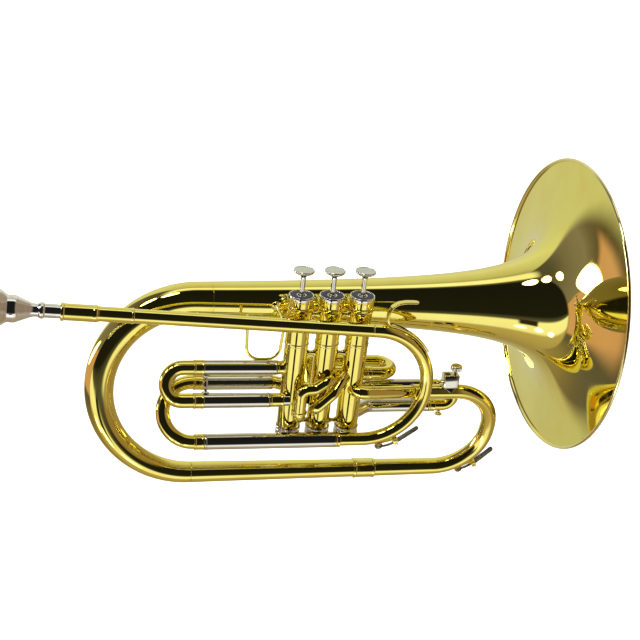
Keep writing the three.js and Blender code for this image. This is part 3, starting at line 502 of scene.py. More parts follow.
def write_mesh(name: str, surfaces: Sequence[Surface], crease: float = 42.0) -> bpy.types.Mesh:
    """Puts surfaces into one mesh, with faces outwards, a UV map and the wear attributes.

    The UV map holds (distance along in metres, share of the way round). The attributes edge and
    joint carry each row's exposure to rubbing and its nearness to solder.

    Args:
        name: the mesh's name.
        surfaces: the closed surfaces.
        crease: the angle in degrees past which an edge is shaded sharp.

    Returns:
        The mesh, in metres.
    """
    vertices, faces, uvs, edges, joints, count = [], [], [], [], [], 0
    for surface in surfaces:
        points, row_of, quads, triangles = grid_faces(surface)
        cols = surface.points.shape[1]
        corners = np.concatenate([quads[:, [0, 1, 2]], quads[:, [0, 2, 3]], triangles[:, :3]])
        flip = signed_volume(points, corners) < 0
        for group, size in ((quads, 4), (triangles, 3)):
            if not len(group):
                continue
            loop = group[:, :size]
            col = group[:, size + 1]
            u = surface.run[row_of[loop]] * MM
            step = np.array([0, 1, 1, 0]) if size == 4 else np.array([0, 1, 1])
            v = (col[:, None] + step[None]) / cols
            if flip:
                loop, u, v = loop[:, ::-1], u[:, ::-1], v[:, ::-1]
            faces.extend((loop + count).tolist())
            uvs.append(np.stack([u, v], axis=-1).reshape(-1, 2))
        vertices.append(points * MM)
        edges.append(surface.edge[row_of])
        joints.append(surface.joint[row_of])
        count += len(points)
    mesh = bpy.data.meshes.new(name)
    mesh.from_pydata(np.concatenate(vertices).tolist(), [], faces)
    mesh.uv_layers.new(name="UVMap").data.foreach_set("uv", np.concatenate(uvs).astype(np.float32).ravel())
    for label, values in (("edge", edges), ("joint", joints)):
        attribute = mesh.attributes.new(label, "FLOAT", "POINT")
        attribute.data.foreach_set("value", np.concatenate(values).astype(np.float32))
    mesh.polygons.foreach_set("use_smooth", np.ones(len(mesh.polygons), bool))
    mesh.update()
    mesh.set_sharp_from_angle(angle=math.radians(crease))
    return mesh


# ------------------------------------------------------------------ finishes


@dataclass
class Wiring:
    """Short calls for wiring one node tree.

    Args:
        tree: the tree that is wired.
    """

    tree: bpy.types.NodeTree

    def add(self, kind: str, settings: Optional[dict] = None,
            sockets: Optional[dict] = None) -> bpy.types.Node:
        """Adds a node.

        Args:
            kind: the node's Blender type.
            settings: its properties by name.
            sockets: its inputs by name or number, each a value or another node's output.

        Returns:
            The node.
        """
        node = self.tree.nodes.new(kind)
        for key, value in (settings or {}).items():
            setattr(node, key, value)
        for key, value in (sockets or {}).items():
            if isinstance(value, bpy.types.NodeSocket):
                self.tree.links.new(value, node.inputs[key])
            else:
                node.inputs[key].default_value = value
        return node

    def noise(self, vector: bpy.types.NodeSocket, scale: object, detail: float = 3.0,
              rough: float = 0.5, twist: float = 0.0) -> bpy.types.NodeSocket:
        """A noise texture's value, from 0 to 1."""
        node = self.add("ShaderNodeTexNoise", {"noise_dimensions": "3D"}, {
            "Vector": vector, "Scale": scale, "Detail": detail, "Roughness": rough, "Distortion": twist})
        return node.outputs["Fac"]

    def math(self, kind: str, first: object, second: object = 0.0) -> bpy.types.NodeSocket:
        """The result of a math node, clamped only where asked."""
        return self.add("ShaderNodeMath", {"operation": kind}, {0: first, 1: second}).outputs[0]

    def ramp(self, value: object, low: object, high: object, out_low: object = 0.0,
             out_high: object = 1.0) -> bpy.types.NodeSocket:
        """A smooth ramp of a value between two bounds."""
        node = self.add("ShaderNodeMapRange", {"interpolation_type": "SMOOTHSTEP", "clamp": True}, {
            "Value": value, "From Min": low, "From Max": high, "To Min": out_low, "To Max": out_high})
        return node.outputs["Result"]

    def mix(self, share: object, first: object, second: object) -> bpy.types.NodeSocket:
        """One colour mixed into another."""
        node = self.add("ShaderNodeMix", {"data_type": "RGBA", "blend_type": "MIX", "clamp_factor": True},
                        {0: share, 6: first, 7: second})
        return node.outputs[2]


class Effect(Enum):
    """The surface effects that several finishes share, each one node group."""

    BUFFING = "buffing_waves"
    HAIRLINES = "polishing_hairlines"
    FILM = "handling_film"
    WEAR = "edge_wear"
    SPECKS = "lacquer_specks"
    TONE = "tone_drift"


class Effects:
    """Builds each shared node group once and places it in materials."""

    def __init__(self) -> None:
        """Starts with no group built."""
        self.groups: dict[Effect, bpy.types.NodeTree] = {}

    @staticmethod
    def _new(effect: Effect, inputs: dict[str, str],
             output: tuple[str, str]) -> tuple[Wiring, dict, bpy.types.Node]:
        """An empty group with its named sockets.

        Args:
            effect: which effect it is.
            inputs: socket kinds by input name.
            output: the output's name and socket kind.

        Returns:
            The wiring, the inputs' outputs by name, and the output node.
        """
        tree = bpy.data.node_groups.new(effect.value, "ShaderNodeTree")
        for name, kind in inputs.items():
            tree.interface.new_socket(name=name, in_out="INPUT", socket_type=kind)
        tree.interface.new_socket(name=output[0], in_out="OUTPUT", socket_type=output[1])
        wires = Wiring(tree)
        source = wires.add("NodeGroupInput")
        sink = wires.add("NodeGroupOutput")
        return wires, {name: source.outputs[name] for name in inputs}, sink

    def _buffing(self) -> bpy.types.NodeTree:
        """Long shallow waves that buffing leaves: two noises, the second three times finer."""
        wires, given, sink = self._new(
            Effect.BUFFING,
            {"Vector": "NodeSocketVector", "Scale": "NodeSocketFloat", "Depth": "NodeSocketFloat"},
            ("Height", "NodeSocketFloat"))
        broad = wires.noise(given["Vector"], given["Scale"], 1.0)
        fine = wires.noise(given["Vector"], wires.math("MULTIPLY", given["Scale"], 3.1), 1.0)
        total = wires.math("ADD", broad, wires.math("MULTIPLY", fine, 0.3))
        wires.tree.links.new(wires.math("MULTIPLY", total, given["Depth"]), sink.inputs["Height"])
        return wires.tree

    def _hairlines(self) -> bpy.types.NodeTree:
        """Fine straight scratches: noise squeezed along two slanting directions, cut to thin lines."""
        wires, given, sink = self._new(
            Effect.HAIRLINES,
            {"Vector": "NodeSocketVector", "Scale": "NodeSocketFloat", "Amount": "NodeSocketFloat"},
            ("Mask", "NodeSocketFloat"))
        lines = []
        for turn, squeeze in (((0.2, 0.5, 0.4), (1.0, 26.0, 22.0)), ((0.9, -0.3, 1.3), (24.0, 1.2, 20.0))):
            mapped = wires.add("ShaderNodeMapping", {"vector_type": "POINT"}, {
                "Vector": given["Vector"], "Rotation": turn, "Scale": squeeze}).outputs[0]
            streak = wires.noise(mapped, given["Scale"], 2.0)
            lines.append(wires.ramp(streak, 0.63, 0.7))
        patch = wires.ramp(wires.noise(given["Vector"], wires.math("MULTIPLY", given["Scale"], 0.8), 2.0),
                           0.42, 0.62)
        both = wires.math("MULTIPLY", wires.math("MAXIMUM", *lines), patch)
        wires.tree.links.new(wires.math("MULTIPLY", both, given["Amount"]), sink.inputs["Mask"])
        return wires.tree

    def _film(self) -> bpy.types.NodeTree:
        """The dull film that hands and cloths leave in patches."""
        wires, given, sink = self._new(
            Effect.FILM,
            {"Vector": "NodeSocketVector", "Scale": "NodeSocketFloat", "Amount": "NodeSocketFloat"},
            ("Mask", "NodeSocketFloat"))
        cloud = wires.noise(given["Vector"], given["Scale"], 6.0, 0.6, 0.5)
        streaks = wires.noise(given["Vector"], wires.math("MULTIPLY", given["Scale"], 7.0), 3.0, 0.7, 1.2)
        mixed = wires.math("ADD", wires.math("MULTIPLY", cloud, 0.75), wires.math("MULTIPLY", streaks, 0.25))
        wires.tree.links.new(wires.math("MULTIPLY", wires.ramp(mixed, 0.4, 0.66), given["Amount"]),
                             sink.inputs["Mask"])
        return wires.tree

    def _wear(self) -> bpy.types.NodeTree:
        """Rubbing on exposed rims, broken up by noise."""
        wires, given, sink = self._new(
            Effect.WEAR,
            {"Vector": "NodeSocketVector", "Edge": "NodeSocketFloat", "Amount": "NodeSocketFloat"},
            ("Mask", "NodeSocketFloat"))
        broken = wires.ramp(wires.noise(given["Vector"], 420.0, 4.0, 0.6), 0.3, 0.62, 0.15, 1.0)
        mask = wires.math("MULTIPLY", wires.math("MULTIPLY", given["Edge"], broken), given["Amount"])
        wires.tree.links.new(mask, sink.inputs["Mask"])
        return wires.tree

    def _specks(self) -> bpy.types.NodeTree:
        """Tiny dots where lacquer or plating has gone: the cores of cells, in some patches only."""
        wires, given, sink = self._new(
            Effect.SPECKS,
            {"Vector": "NodeSocketVector", "Scale": "NodeSocketFloat", "Amount": "NodeSocketFloat"},
            ("Mask", "NodeSocketFloat"))
        cells = wires.add("ShaderNodeTexVoronoi", {"feature": "F1"}, {
            "Vector": given["Vector"], "Scale": given["Scale"]}).outputs["Distance"]
        core = wires.ramp(cells, 0.05, 0.13, 1.0, 0.0)
        patch = wires.ramp(wires.noise(given["Vector"], wires.math("MULTIPLY", given["Scale"], 0.11), 2.0),
                           0.52, 0.68)
        wires.tree.links.new(
            wires.math("MULTIPLY", wires.math("MULTIPLY", core, patch), given["Amount"]), sink.inputs["Mask"])
        return wires.tree

    def _tone(self) -> bpy.types.NodeTree:
        """A slow drift between two tones of one metal, deeper near solder."""
        wires, given, sink = self._new(
            Effect.TONE, {"Vector": "NodeSocketVector", "Light": "NodeSocketColor", "Deep": "NodeSocketColor",
                          "Joint": "NodeSocketFloat", "Scale": "NodeSocketFloat"},
            ("Color", "NodeSocketColor"))
        drift = wires.ramp(wires.noise(given["Vector"], given["Scale"], 3.0, 0.55), 0.35, 0.7)
        share = wires.math("MINIMUM", wires.math("ADD", wires.math("MULTIPLY", drift, 0.6),
                                                 wires.math("MULTIPLY", given["Joint"], 0.55)), 1.0)
        wires.tree.links.new(wires.mix(share, given["Light"], given["Deep"]), sink.inputs["Color"])
        return wires.tree

    def place(self, wires: Wiring, effect: Effect, sockets: dict) -> bpy.types.NodeSocket:
        """Places an effect's group in a material and returns its output.

        Args:
            wires: the material's wiring.
            effect: which effect.
            sockets: the group's inputs.

        Returns:
            The group's only output.
        """
        builders = {
            Effect.BUFFING: self._buffing, Effect.HAIRLINES: self._hairlines, Effect.FILM: self._film,
            Effect.WEAR: self._wear, Effect.SPECKS: self._specks, Effect.TONE: self._tone,
        }
        if effect not in self.groups:
            self.groups[effect] = builders[effect]()
        node = wires.add("ShaderNodeGroup", {"node_tree": self.groups[effect]}, sockets)
        return node.outputs[0]


@dataclass(frozen=True)
class Metal:
    """A polished metal finish.

    Args:
        name: the material's name.
        light: the metal's colour.
        deep: its tone in patches and near solder.
        worn: its tone on rubbed rims.
        gloss: the roughness where it is clean.
        dull: the roughness under a film of handling.
        coat: the weight of a clear lacquer over it.
        wave: the depth of the buffing waves, in metres.
        scratch: how many hairlines it shows, from 0 to 1.
    """

    name: str
    light: tuple[float, float, float]
    deep: tuple[float, float, float]
    worn: tuple[float, float, float]
    gloss: float
    dull: float
    coat: float
    wave: float
    scratch: float

    def material(self, effects: Effects) -> bpy.types.Material:
        """Builds the material: tone, wear and specks in the colour, film and lines in the roughness."""
        made = bpy.data.materials.new(self.name)
        made.use_nodes = True
        wires = Wiring(made.node_tree)
        shader = made.node_tree.nodes["Principled BSDF"]
        place = wires.add("ShaderNodeTexCoord").outputs["Object"]
        edge = wires.add("ShaderNodeAttribute", {"attribute_name": "edge"}).outputs["Fac"]
        joint = wires.add("ShaderNodeAttribute", {"attribute_name": "joint"}).outputs["Fac"]
        tone = effects.place(wires, Effect.TONE, {
            "Vector": place, "Light": (*self.light, 1), "Deep": (*self.deep, 1), "Joint": joint,
            "Scale": 26.0})
        rubbed = effects.place(wires, Effect.WEAR, {"Vector": place, "Edge": edge, "Amount": 0.7})
        specks = effects.place(wires, Effect.SPECKS, {"Vector": place, "Scale": 420.0, "Amount": 0.5})
        film = effects.place(wires, Effect.FILM, {"Vector": place, "Scale": 34.0, "Amount": 1.0})
        lines = effects.place(wires, Effect.HAIRLINES,
                              {"Vector": place, "Scale": 60.0, "Amount": self.scratch})
        waves = effects.place(wires, Effect.BUFFING, {"Vector": place, "Scale": 38.0, "Depth": self.wave})
        colour = wires.mix(rubbed, tone, (*self.worn, 1))
        colour = wires.mix(specks, colour, (*(0.45 * c for c in self.deep), 1))
        rough = wires.ramp(film, 0.0, 1.0, self.gloss, self.dull)
        rough = wires.math("ADD", rough, wires.math("MULTIPLY", lines, 0.12))
        rough = wires.math("ADD", rough, wires.math("MULTIPLY", rubbed, 0.06))
        height = wires.math("SUBTRACT", waves, wires.math("MULTIPLY", lines, 1.2e-6))
        bump = wires.add("ShaderNodeBump", None,
                         {"Strength": 1.0, "Distance": 1.0, "Height": height}).outputs[0]
        for socket, value in (("Base Color", colour), ("Roughness", rough), ("Normal", bump)):
            wires.tree.links.new(value, shader.inputs[socket])
        shader.inputs["Metallic"].default_value = 1.0
        shader.inputs["Coat Weight"].default_value = self.coat
        shader.inputs["Coat Roughness"].default_value = 0.04
        shader.inputs["Coat IOR"].default_value = 1.5
        return made


@dataclass(frozen=True)
class Fibre:
    """A matted finish: felt or cork.

    Args:
        name: the material's name.
        light: the colour of the raised fibres.
        deep: the colour between them.
        grain: how many grains lie on a metre.
        sheen: the weight of the soft light at grazing angles.
        depth: how high the grains stand, in metres.
    """

    name: str
    light: tuple[float, float, float]
    deep: tuple[float, float, float]
    grain: float
    sheen: float
    depth: float

    def material(self, effects: Effects) -> bpy.types.Material:
        """Builds the material: fibres of two tones, a rough surface and a fine nap."""
        made = bpy.data.materials.new(self.name)
        made.use_nodes = True
        wires = Wiring(made.node_tree)
        shader = made.node_tree.nodes["Principled BSDF"]
        place = wires.add("ShaderNodeTexCoord").outputs["Object"]
        nap = wires.noise(place, self.grain, 6.0, 0.7, 1.5)
        fibres = wires.add("ShaderNodeTexVoronoi", {"feature": "F1"}, {
            "Vector": place, "Scale": self.grain * 0.6}).outputs["Distance"]
        film = effects.place(wires, Effect.FILM, {"Vector": place, "Scale": 120.0, "Amount": 0.35})
        colour = wires.mix(wires.ramp(nap, 0.35, 0.65), (*self.deep, 1), (*self.light, 1))
        colour = wires.mix(film, colour, (*(1.6 * c + 0.01 for c in self.light), 1))
        rough = wires.ramp(nap, 0.2, 0.8, 0.98, 0.86)
        height = wires.math("MULTIPLY", wires.math("ADD", nap, wires.math("MULTIPLY", fibres, 0.5)),
                            self.depth)
        bump = wires.add("ShaderNodeBump", None,
                         {"Strength": 1.0, "Distance": 1.0, "Height": height}).outputs[0]
        for socket, value in (("Base Color", colour), ("Roughness", rough), ("Normal", bump)):
            wires.tree.links.new(value, shader.inputs[socket])
        shader.inputs["Sheen Weight"].default_value = self.sheen
        shader.inputs["Specular IOR Level"].default_value = 0.25
        return made


class Finish(Enum):
    """Every finish on the horn, with the record's material slot that it belongs to."""

    LACQUER = ("lacquered_brass", Metal(
        "lacquered_brass", (0.93, 0.82, 0.20), (0.88, 0.70, 0.14), (0.93, 0.84, 0.42),
        0.02, 0.07, 0.25, 2.5e-5, 0.35))
    BELL = ("lacquered_brass", Metal(
        "bell_brass", (0.93, 0.84, 0.22), (0.89, 0.74, 0.17), (0.92, 0.86, 0.6),
        0.02, 0.06, 0.25, 1.5e-5, 0.3))
    NICKEL = ("nickel_silver", Metal(
        "nickel_silver", (0.80, 0.78, 0.68), (0.70, 0.66, 0.52), (0.86, 0.85, 0.78),
        0.03, 0.09, 0.1, 2.0e-5, 0.6))
    SILVER = ("silver_plate", Metal(
        "silver_plate", (0.88, 0.87, 0.83), (0.74, 0.71, 0.63), (0.93, 0.92, 0.88),
        0.03, 0.08, 0.0, 1.5e-5, 0.4))
    SATIN = ("silver_plate", Metal(
        "satin_button", (0.74, 0.76, 0.71), (0.64, 0.66, 0.61), (0.85, 0.85, 0.80),
        0.3, 0.42, 0.0, 0.8e-5, 0.6))
    STEEL = ("steel", Metal(
        "dark_steel", (0.22, 0.22, 0.22), (0.10, 0.09, 0.09), (0.55, 0.54, 0.52),
        0.16, 0.34, 0.2, 1.0e-5, 0.8))
    FELT = ("black_felt",
            Fibre("black_felt", (0.012, 0.012, 0.018), (0.004, 0.004, 0.007), 2600.0, 0.25, 1.6e-4))
    CORK = (None, Fibre("cork_pad", (0.42, 0.26, 0.14), (0.2, 0.11, 0.05), 1500.0, 0.1, 1.2e-4))

    @property
    def slot(self) -> Optional[str]:
        """The record's slot, or None."""
        return self.value[0]

    @property
    def look(self) -> "Metal | Fibre":
        """The finish itself."""
        return self.value[1]


class Workshop:
    """Puts finished pieces on the horn and reports them."""

    def __init__(self) -> None:
        """Starts with no material made."""
        self.effects = Effects()
        self.materials: dict[Finish, bpy.types.Material] = {}
        self.triangles = 0

    def dress(self, obj: bpy.types.Object, finish: Finish) -> None:
        """Gives an object a finish, making its material the first time."""
        if finish not in self.materials:
            self.materials[finish] = finish.look.material(self.effects)
        obj.data.materials.clear()
        obj.data.materials.append(self.materials[finish])

    def fit(self, name: str, surfaces: Sequence[Surface], finish: Finish, body: str = "root",
            nodes: Sequence[str] = (), crease: float = 42.0) -> bpy.types.Object:
        """Makes one piece, dresses it and lets it ride on its body.

        Args:
            name: the piece's name.
            surfaces: its closed surfaces.
            finish: its finish.
            body: the body it moves with.
            nodes: the solids of the frame that it stands for; the one of its own name when left out.
            crease: the angle past which its edges are shaded sharp.

        Returns:
            The object.
        """
        obj = bpy.data.objects.new(name, write_mesh(name, surfaces, crease))
        bpy.context.scene.collection.objects.link(obj)
        self.dress(obj, finish)
        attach(obj, body)
        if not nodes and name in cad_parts:
            nodes = (name,)
        if nodes:
            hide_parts(*nodes)
        count = sum(len(p.vertices) - 2 for p in obj.data.polygons)
        self.triangles += count
        log.info("%s: %d triangles, %s, on %s", name, count, finish.name.lower(), body)
        return obj


# ------------------------------------------------------------------ the horn's sub-assemblies


def level(x: float, leg: Point) -> list[float]:
    """A point at an X on a leg given by its (y, z)."""
    return [x, leg[0], leg[1]]


@dataclass
class Bell:
    """The spun bell with its edge rolled over a wire.

    Args:
        mouth_x: where the mouth's plane lies.
        tail_x: where the tail joins the big bow.
        axis: the (y, z) of its axis.
        rim_r: the radius where the sheet meets the rolled edge.
        flare: the length that sets how suddenly it opens.
        power: the power of the flare's law.
        wire_r: the rolled edge's radius.
        sheet: the thickness of the metal.
    """

    mouth_x: float = 238.0
    tail_x: float = BELL_TAIL_X
    axis: tuple[float, float] = BELL_AXIS
    rim_r: float = 136.7
    flare: float = 4.6
    power: float = 0.485
    wire_r: float = 1.5
    sheet: float = 0.6

    def radius(self, behind: np.ndarray) -> np.ndarray:
        """The radius at a distance behind the mouth: rim (flare / (flare + distance)) ^ power."""
        return self.rim_r * (self.flare / (self.flare + behind)) ** self.power

    def profile(self) -> tuple[np.ndarray, np.ndarray]:
        """The (radius, x) loop: outside from the tail, round the rolled edge, inside back to the tail."""
        length = self.mouth_x - self.tail_x
        share = np.linspace(0, 1, 130)
        behind = length * share ** 2.6
        r = self.radius(behind)
        slope = np.gradient(r, behind)
        normal = unit(np.stack([np.ones_like(slope), slope], axis=-1))
        outward = np.exp(-behind / 9.0)
        line = np.stack([r, self.mouth_x - behind], axis=-1)
        out = line + normal * (self.sheet * 0.9 * outward)[:, None]
        inside = line - normal * (self.sheet * (1 - 0.9 * outward))[:, None]
        centre = np.array([self.rim_r + self.wire_r + GAP, self.mouth_x - self.wire_r])
        angles = np.linspace(math.radians(-140), math.radians(90), 24)
        bead = centre + self.wire_r * np.stack([np.cos(angles), np.sin(angles)], axis=-1)
        outer = out[::-1][out[::-1][:, 0] < centre[0] - self.wire_r * 0.95]
        inner = inside[1:]
        loop = np.concatenate([outer, bead, inner])
        worn = np.concatenate([np.zeros(len(outer)), np.full(len(bead), 0.8), np.zeros(len(inner))])
        return loop, worn

    def build(self, shop: Workshop) -> None:
        """Turns the bell and its rolled edge in one sheet."""
        loop, worn = self.profile()
        line = Path([level(0, self.axis), level(1, self.axis)])
        near = np.exp(-np.abs(loop[:, 1] - self.tail_x) / 6.0)
        shell = carry(line, loop[:, 1], circle(loop[:, 0], 192), worn, near, True, (0, 0, 1))
        shop.fit("bell", [shell], Finish.BELL, nodes=("bell_flare", "bell_rim_wire"), crease=60)


@dataclass
class Bows:
    """The big bow behind, the bottom branch, its sleeve and the front bow.

    Args:
        tail_x: where the bell's tail starts.
        bell_axis: the (y, z) of the bell's axis.
        branch: the (y, z) of the bottom branch.
        back_x: the big bow's furthest centre line.
        big_bend: the big bow's corner radius.
        outlet_end: where the outlet tube meets the front bow.
        front_top: the (y, z) where the front bow starts down.
        front_x: the front bow's furthest centre line.
        sleeve: the X range of the branch's sleeve.
    """

    tail_x: float = BELL_TAIL_X
    bell_axis: tuple[float, float] = BELL_AXIS
    branch: tuple[float, float] = (20.0, -127.5)
    back_x: float = -198.0
    big_bend: float = 84.9
    outlet_end: tuple[float, float, float] = (92.0, -4.6, -29.6)
    front_top: tuple[float, float] = (1.0, -32.4)
    front_x: float = 173.5
    sleeve: tuple[float, float] = (46.0, 67.0)

    def big_bow(self, shop: Workshop, tail_r: float) -> None:
        """Bends the big bow from the bottom branch round to the bell."""
        way = Path([level(self.tail_x - 12, self.branch), level(self.back_x, self.branch),
                    level(self.back_x, self.bell_axis),
                    level(self.tail_x + 0.2, self.bell_axis)], self.big_bend)
        shop.fit("big_bow", [tube(way, 9.9, tail_r, 0.8, 112)], Finish.LACQUER, nodes=("main_bow",))
        inside = Path([level(self.tail_x - 8, self.bell_axis), level(self.tail_x + 8, self.bell_axis)])
        shop.fit("bell_joint_sleeve", [tube(inside, tail_r - 1.8, None, 0.7, 72)], Finish.LACQUER)

    def bottom(self, shop: Workshop) -> None:
        """Draws the bottom branch and turns the sleeve with its two beads."""
        middle = sum(self.sleeve) / 2
        way = Path([level(middle, self.branch), level(self.tail_x - 11.9, self.branch)])
        shop.fit("bottom_branch", [tube(way, 8.6, 9.9, 0.7, 96)], Finish.LACQUER)
        low, high = self.sleeve
        line = Path([level(low, self.branch), level(high, self.branch)])
        outline = [(9.5, 0), (9.85, 0.5), (9.85, 1.9), (9.35, 2.5), (9.3, 10.4), (9.3, 18.4),
                   (9.75, 19), (9.75, 20.4), (9.4, 21), (8.2, 21), (8.2, 0)]
        shop.fit("branch_sleeve", [turning(outline, line, 96)], Finish.LACQUER)
        groove = [(9.45, 4.2), (9.45, 4.8), (8.8, 4.8), (8.8, 4.2)]
        shop.fit("branch_sleeve_line", [turning(groove, line, 96, 0.1)], Finish.LACQUER)

    def front(self, shop: Workshop) -> None:
        """Bends the front bow from the outlet tube down to the branch."""
        x, y, z = self.outlet_end
        way = Path([[x + 1.2, y, z], level(self.front_x, self.front_top), level(self.front_x, self.branch),
                    level(sum(self.sleeve) / 2 + GAP, self.branch)], 47)
        shop.fit("front_bow", [tube(way, 6.6, 8.5, 0.7, 88)], Finish.LACQUER)

    def build(self, shop: Workshop, tail_r: float) -> None:
        """Builds the bows in the order the air takes back to the bell."""
        self.front(shop)
        self.bottom(shop)
        self.big_bow(shop, tail_r)


@dataclass
class Leadpipe:
    """The mouthpiece, its receiver, the leadpipe and the bow round to the tuning slide.

    Args:
        mouth: the (x, y, z) of the receiver's mouth.
        tilt: how much the mouthpiece end is raised, in degrees.
        run: where the straight pipe ends, from the receiver's mouth.
        bow_x: the bow's corner X.
        bow_r: the bow's corner radius.
        low: the (y, z) of the tuning slide's lower leg.
        seam: where the outer sleeve on the pipe ends, from the receiver's mouth.
    """

    mouth: tuple[float, float, float] = (-232.0, -20.0, 56.7)
    tilt: float = 3.4
    run: float = 268.0
    bow_x: float = 92.3
    bow_r: float = 54.5
    low: tuple[float, float] = (-20.0, -70.0)
    seam: float = 59.0

    def on_axis(self, distance: float) -> list[float]:
        """The point on the leadpipe's axis at a distance from the receiver's mouth."""
        angle = math.radians(self.tilt)
        return [self.mouth[0] + distance * math.cos(angle), self.mouth[1],
                self.mouth[2] - distance * math.sin(angle)]

    @property
    def axis(self) -> Path:
        """The leadpipe's axis, distances counting from the receiver's mouth."""
        return Path([self.on_axis(0), self.on_axis(1)])

    def mouthpiece(self, shop: Workshop) -> None:
        """Turns the mouthpiece: rim, cup, throat, bead and tapered shank."""
        outside = [(4.9, 24), (5.9, -2), (5.9, -12.6), (6.5, -13.1), (6.95, -14), (6.95, -16), (6.4, -16.9),
                   (5.5, -17.8), (5.5, -20.6), (6.2, -23.4), (7.9, -27.4), (10.2, -33), (11.2, -35.2),
                   (11.6, -37), (11.4, -40.6), (11.4, -42), (12.2, -43.4), (13.8, -45.6), (15.4, -47.6),
                   (16.2, -49.6), (16.4, -52), (16.2, -55), (16.6, -57), (17.6, -58.8), (18.7, -60.2),
                   (18.95, -61.6), (18.95, -63.6), (18.2, -65.6), (16.9, -66.5), (15.4, -66.3), (14, -65.2)]
        bore = [(13.1, -63.4), (12.6, -60), (11.4, -54.6), (9.2, -48), (6.6, -42), (4.4, -38), (3, -35.4),
                (2.4, -32), (2.7, -24), (4.1, 24)]
        cup = turning(outside + bore, self.axis, 96, 1.2)
        shop.fit("mouthpiece", [cup], Finish.SILVER, "mouthpiece", ("mouthpiece",), 50)

    def receiver(self, shop: Workshop) -> None:
        """Turns the receiver sleeve, with a rolled mouth and a stepped foot."""
        outline = [(6.5, 0), (7.5, 0), (7.75, 0.7), (7.75, 2.1), (7.3, 2.8), (7.15, 4), (7.15, 26),
                   (7.35, 27), (7.35, 28.6), (7, 29.6), (6.7, 31), (6.5, 31)]
        shop.fit("receiver", [turning(outline, self.axis, 72)], Finish.LACQUER)

    def pipes(self, shop: Workshop) -> None:
        """Draws the leadpipe, the thin sleeve at its start and the bow."""
        line = Path([self.on_axis(25), self.on_axis(self.run + 0.2)])
        shop.fit("leadpipe", [tube(line, 6.1, None, 0.6, 64, 3.0)], Finish.LACQUER)
        sleeve = [(6.15, 30), (6.42, 30), (6.42, self.seam - 1.5), (6.8, self.seam - 1.1),
                  (6.8, self.seam), (6.3, self.seam + 0.6), (6.1, self.seam + 0.6)]
        shop.fit("leadpipe_sleeve", [turning(sleeve, self.axis, 64, 0.2)], Finish.LACQUER)
        straight = (self.bow_x - self.mouth[0]) / math.cos(math.radians(self.tilt))
        bow = Path([self.on_axis(self.run), self.on_axis(straight), level(self.bow_x, self.low),
                    level(6, self.low)], self.bow_r)
        shop.fit("leadpipe_bow", [tube(bow, 6.1, 6.0, 0.6, 72)], Finish.LACQUER)

    def build(self, shop: Workshop) -> None:
        """Builds the pieces from the player's lips on."""
        self.mouthpiece(shop)
        self.receiver(shop)
        self.pipes(shop)


def ferrule(start: Point, end: Point, radius: float, inner: float, bead: float = 0.35) -> Surface:
    """A ferrule between two points: a short sleeve with a raised bead at each end."""
    line = Path([start, end])
    reach = line.length
    outline = [(radius - 0.25, 0), (radius + bead, 0.35), (radius + bead, 1.35), (radius, 1.9),
               (radius, reach - 1.9), (radius + bead, reach - 1.35), (radius + bead, reach - 0.35),
               (radius - 0.25, reach), (inner, reach), (inner, 0)]
    return turning(outline, line, rounding=0.22)


@dataclass
class TuningSlide:
    """The main tuning slide with its fixed outer tubes and the inlet to the first valve.

    Args:
        low: the (y, z) of the lower leg.
        high: the (y, z) of the upper leg.
        end_x: where the fixed tubes end.
        crook_x: the crook's furthest centre line.
        bend: the crook's corner radius.
        valve_x: the X of the first valve.
    """

    low: tuple[float, float] = (-20.0, -70.0)
    high: tuple[float, float] = (11.0, -26.4)
    end_x: float = -107.0
    crook_x: float = -143.5
    bend: float = 26.4
    valve_x: float = CASING_X[0]

    def fixed(self, shop: Workshop) -> None:
        """Draws the two fixed tubes, each with a rolled end."""
        for name, leg, stop in (("lower", self.low, 13.5), ("upper", self.high, -44.0)):
            line = Path([level(self.end_x, leg), level(stop, leg)])
            rolled = tube(line, 7.25, None, 0.7, 72, 4.0, swell=[(1.1, 0.3, 1.0)])
            shop.fit(f"tuning_outer_{name}", [rolled], Finish.NICKEL)
        joint = ferrule(level(12.2, self.low), level(17.2, self.low), 7.1, 6.2, 0.3)
        shop.fit("tuning_outer_ferrule", [joint], Finish.LACQUER)

    def slide(self, shop: Workshop) -> None:
        """Bends the crook with its legs and turns the two ferrules."""
        way = Path([level(-38, self.low), level(self.crook_x, self.low), level(self.crook_x, self.high),
                    level(-62, self.high)], self.bend)
        parts = [tube(way, 6.3, None, 0.5, 64)]
        parts += [ferrule(level(self.end_x - 9.3, leg), level(self.end_x - GAP, leg), 7.05, 6.1)
                  for leg in (self.low, self.high)]
        shop.fit("tuning_slide", parts, Finish.LACQUER, "tuning_slide")

    def inlet(self, shop: Workshop) -> None:
        """Bends the stub into the first valve, its end shaped to the casing."""
        way = Path([level(-50, self.high), level(-43, self.high), [self.valve_x, 2, self.high[1]]], 10)
        shop.fit("inlet_tube", [entering(tube(way, 6.0), way)], Finish.LACQUER)

    def build(self, shop: Workshop) -> None:
        """Builds the fixed tubes, the slide and the inlet."""
        self.fixed(shop)
        self.slide(shop)
        self.inlet(shop)


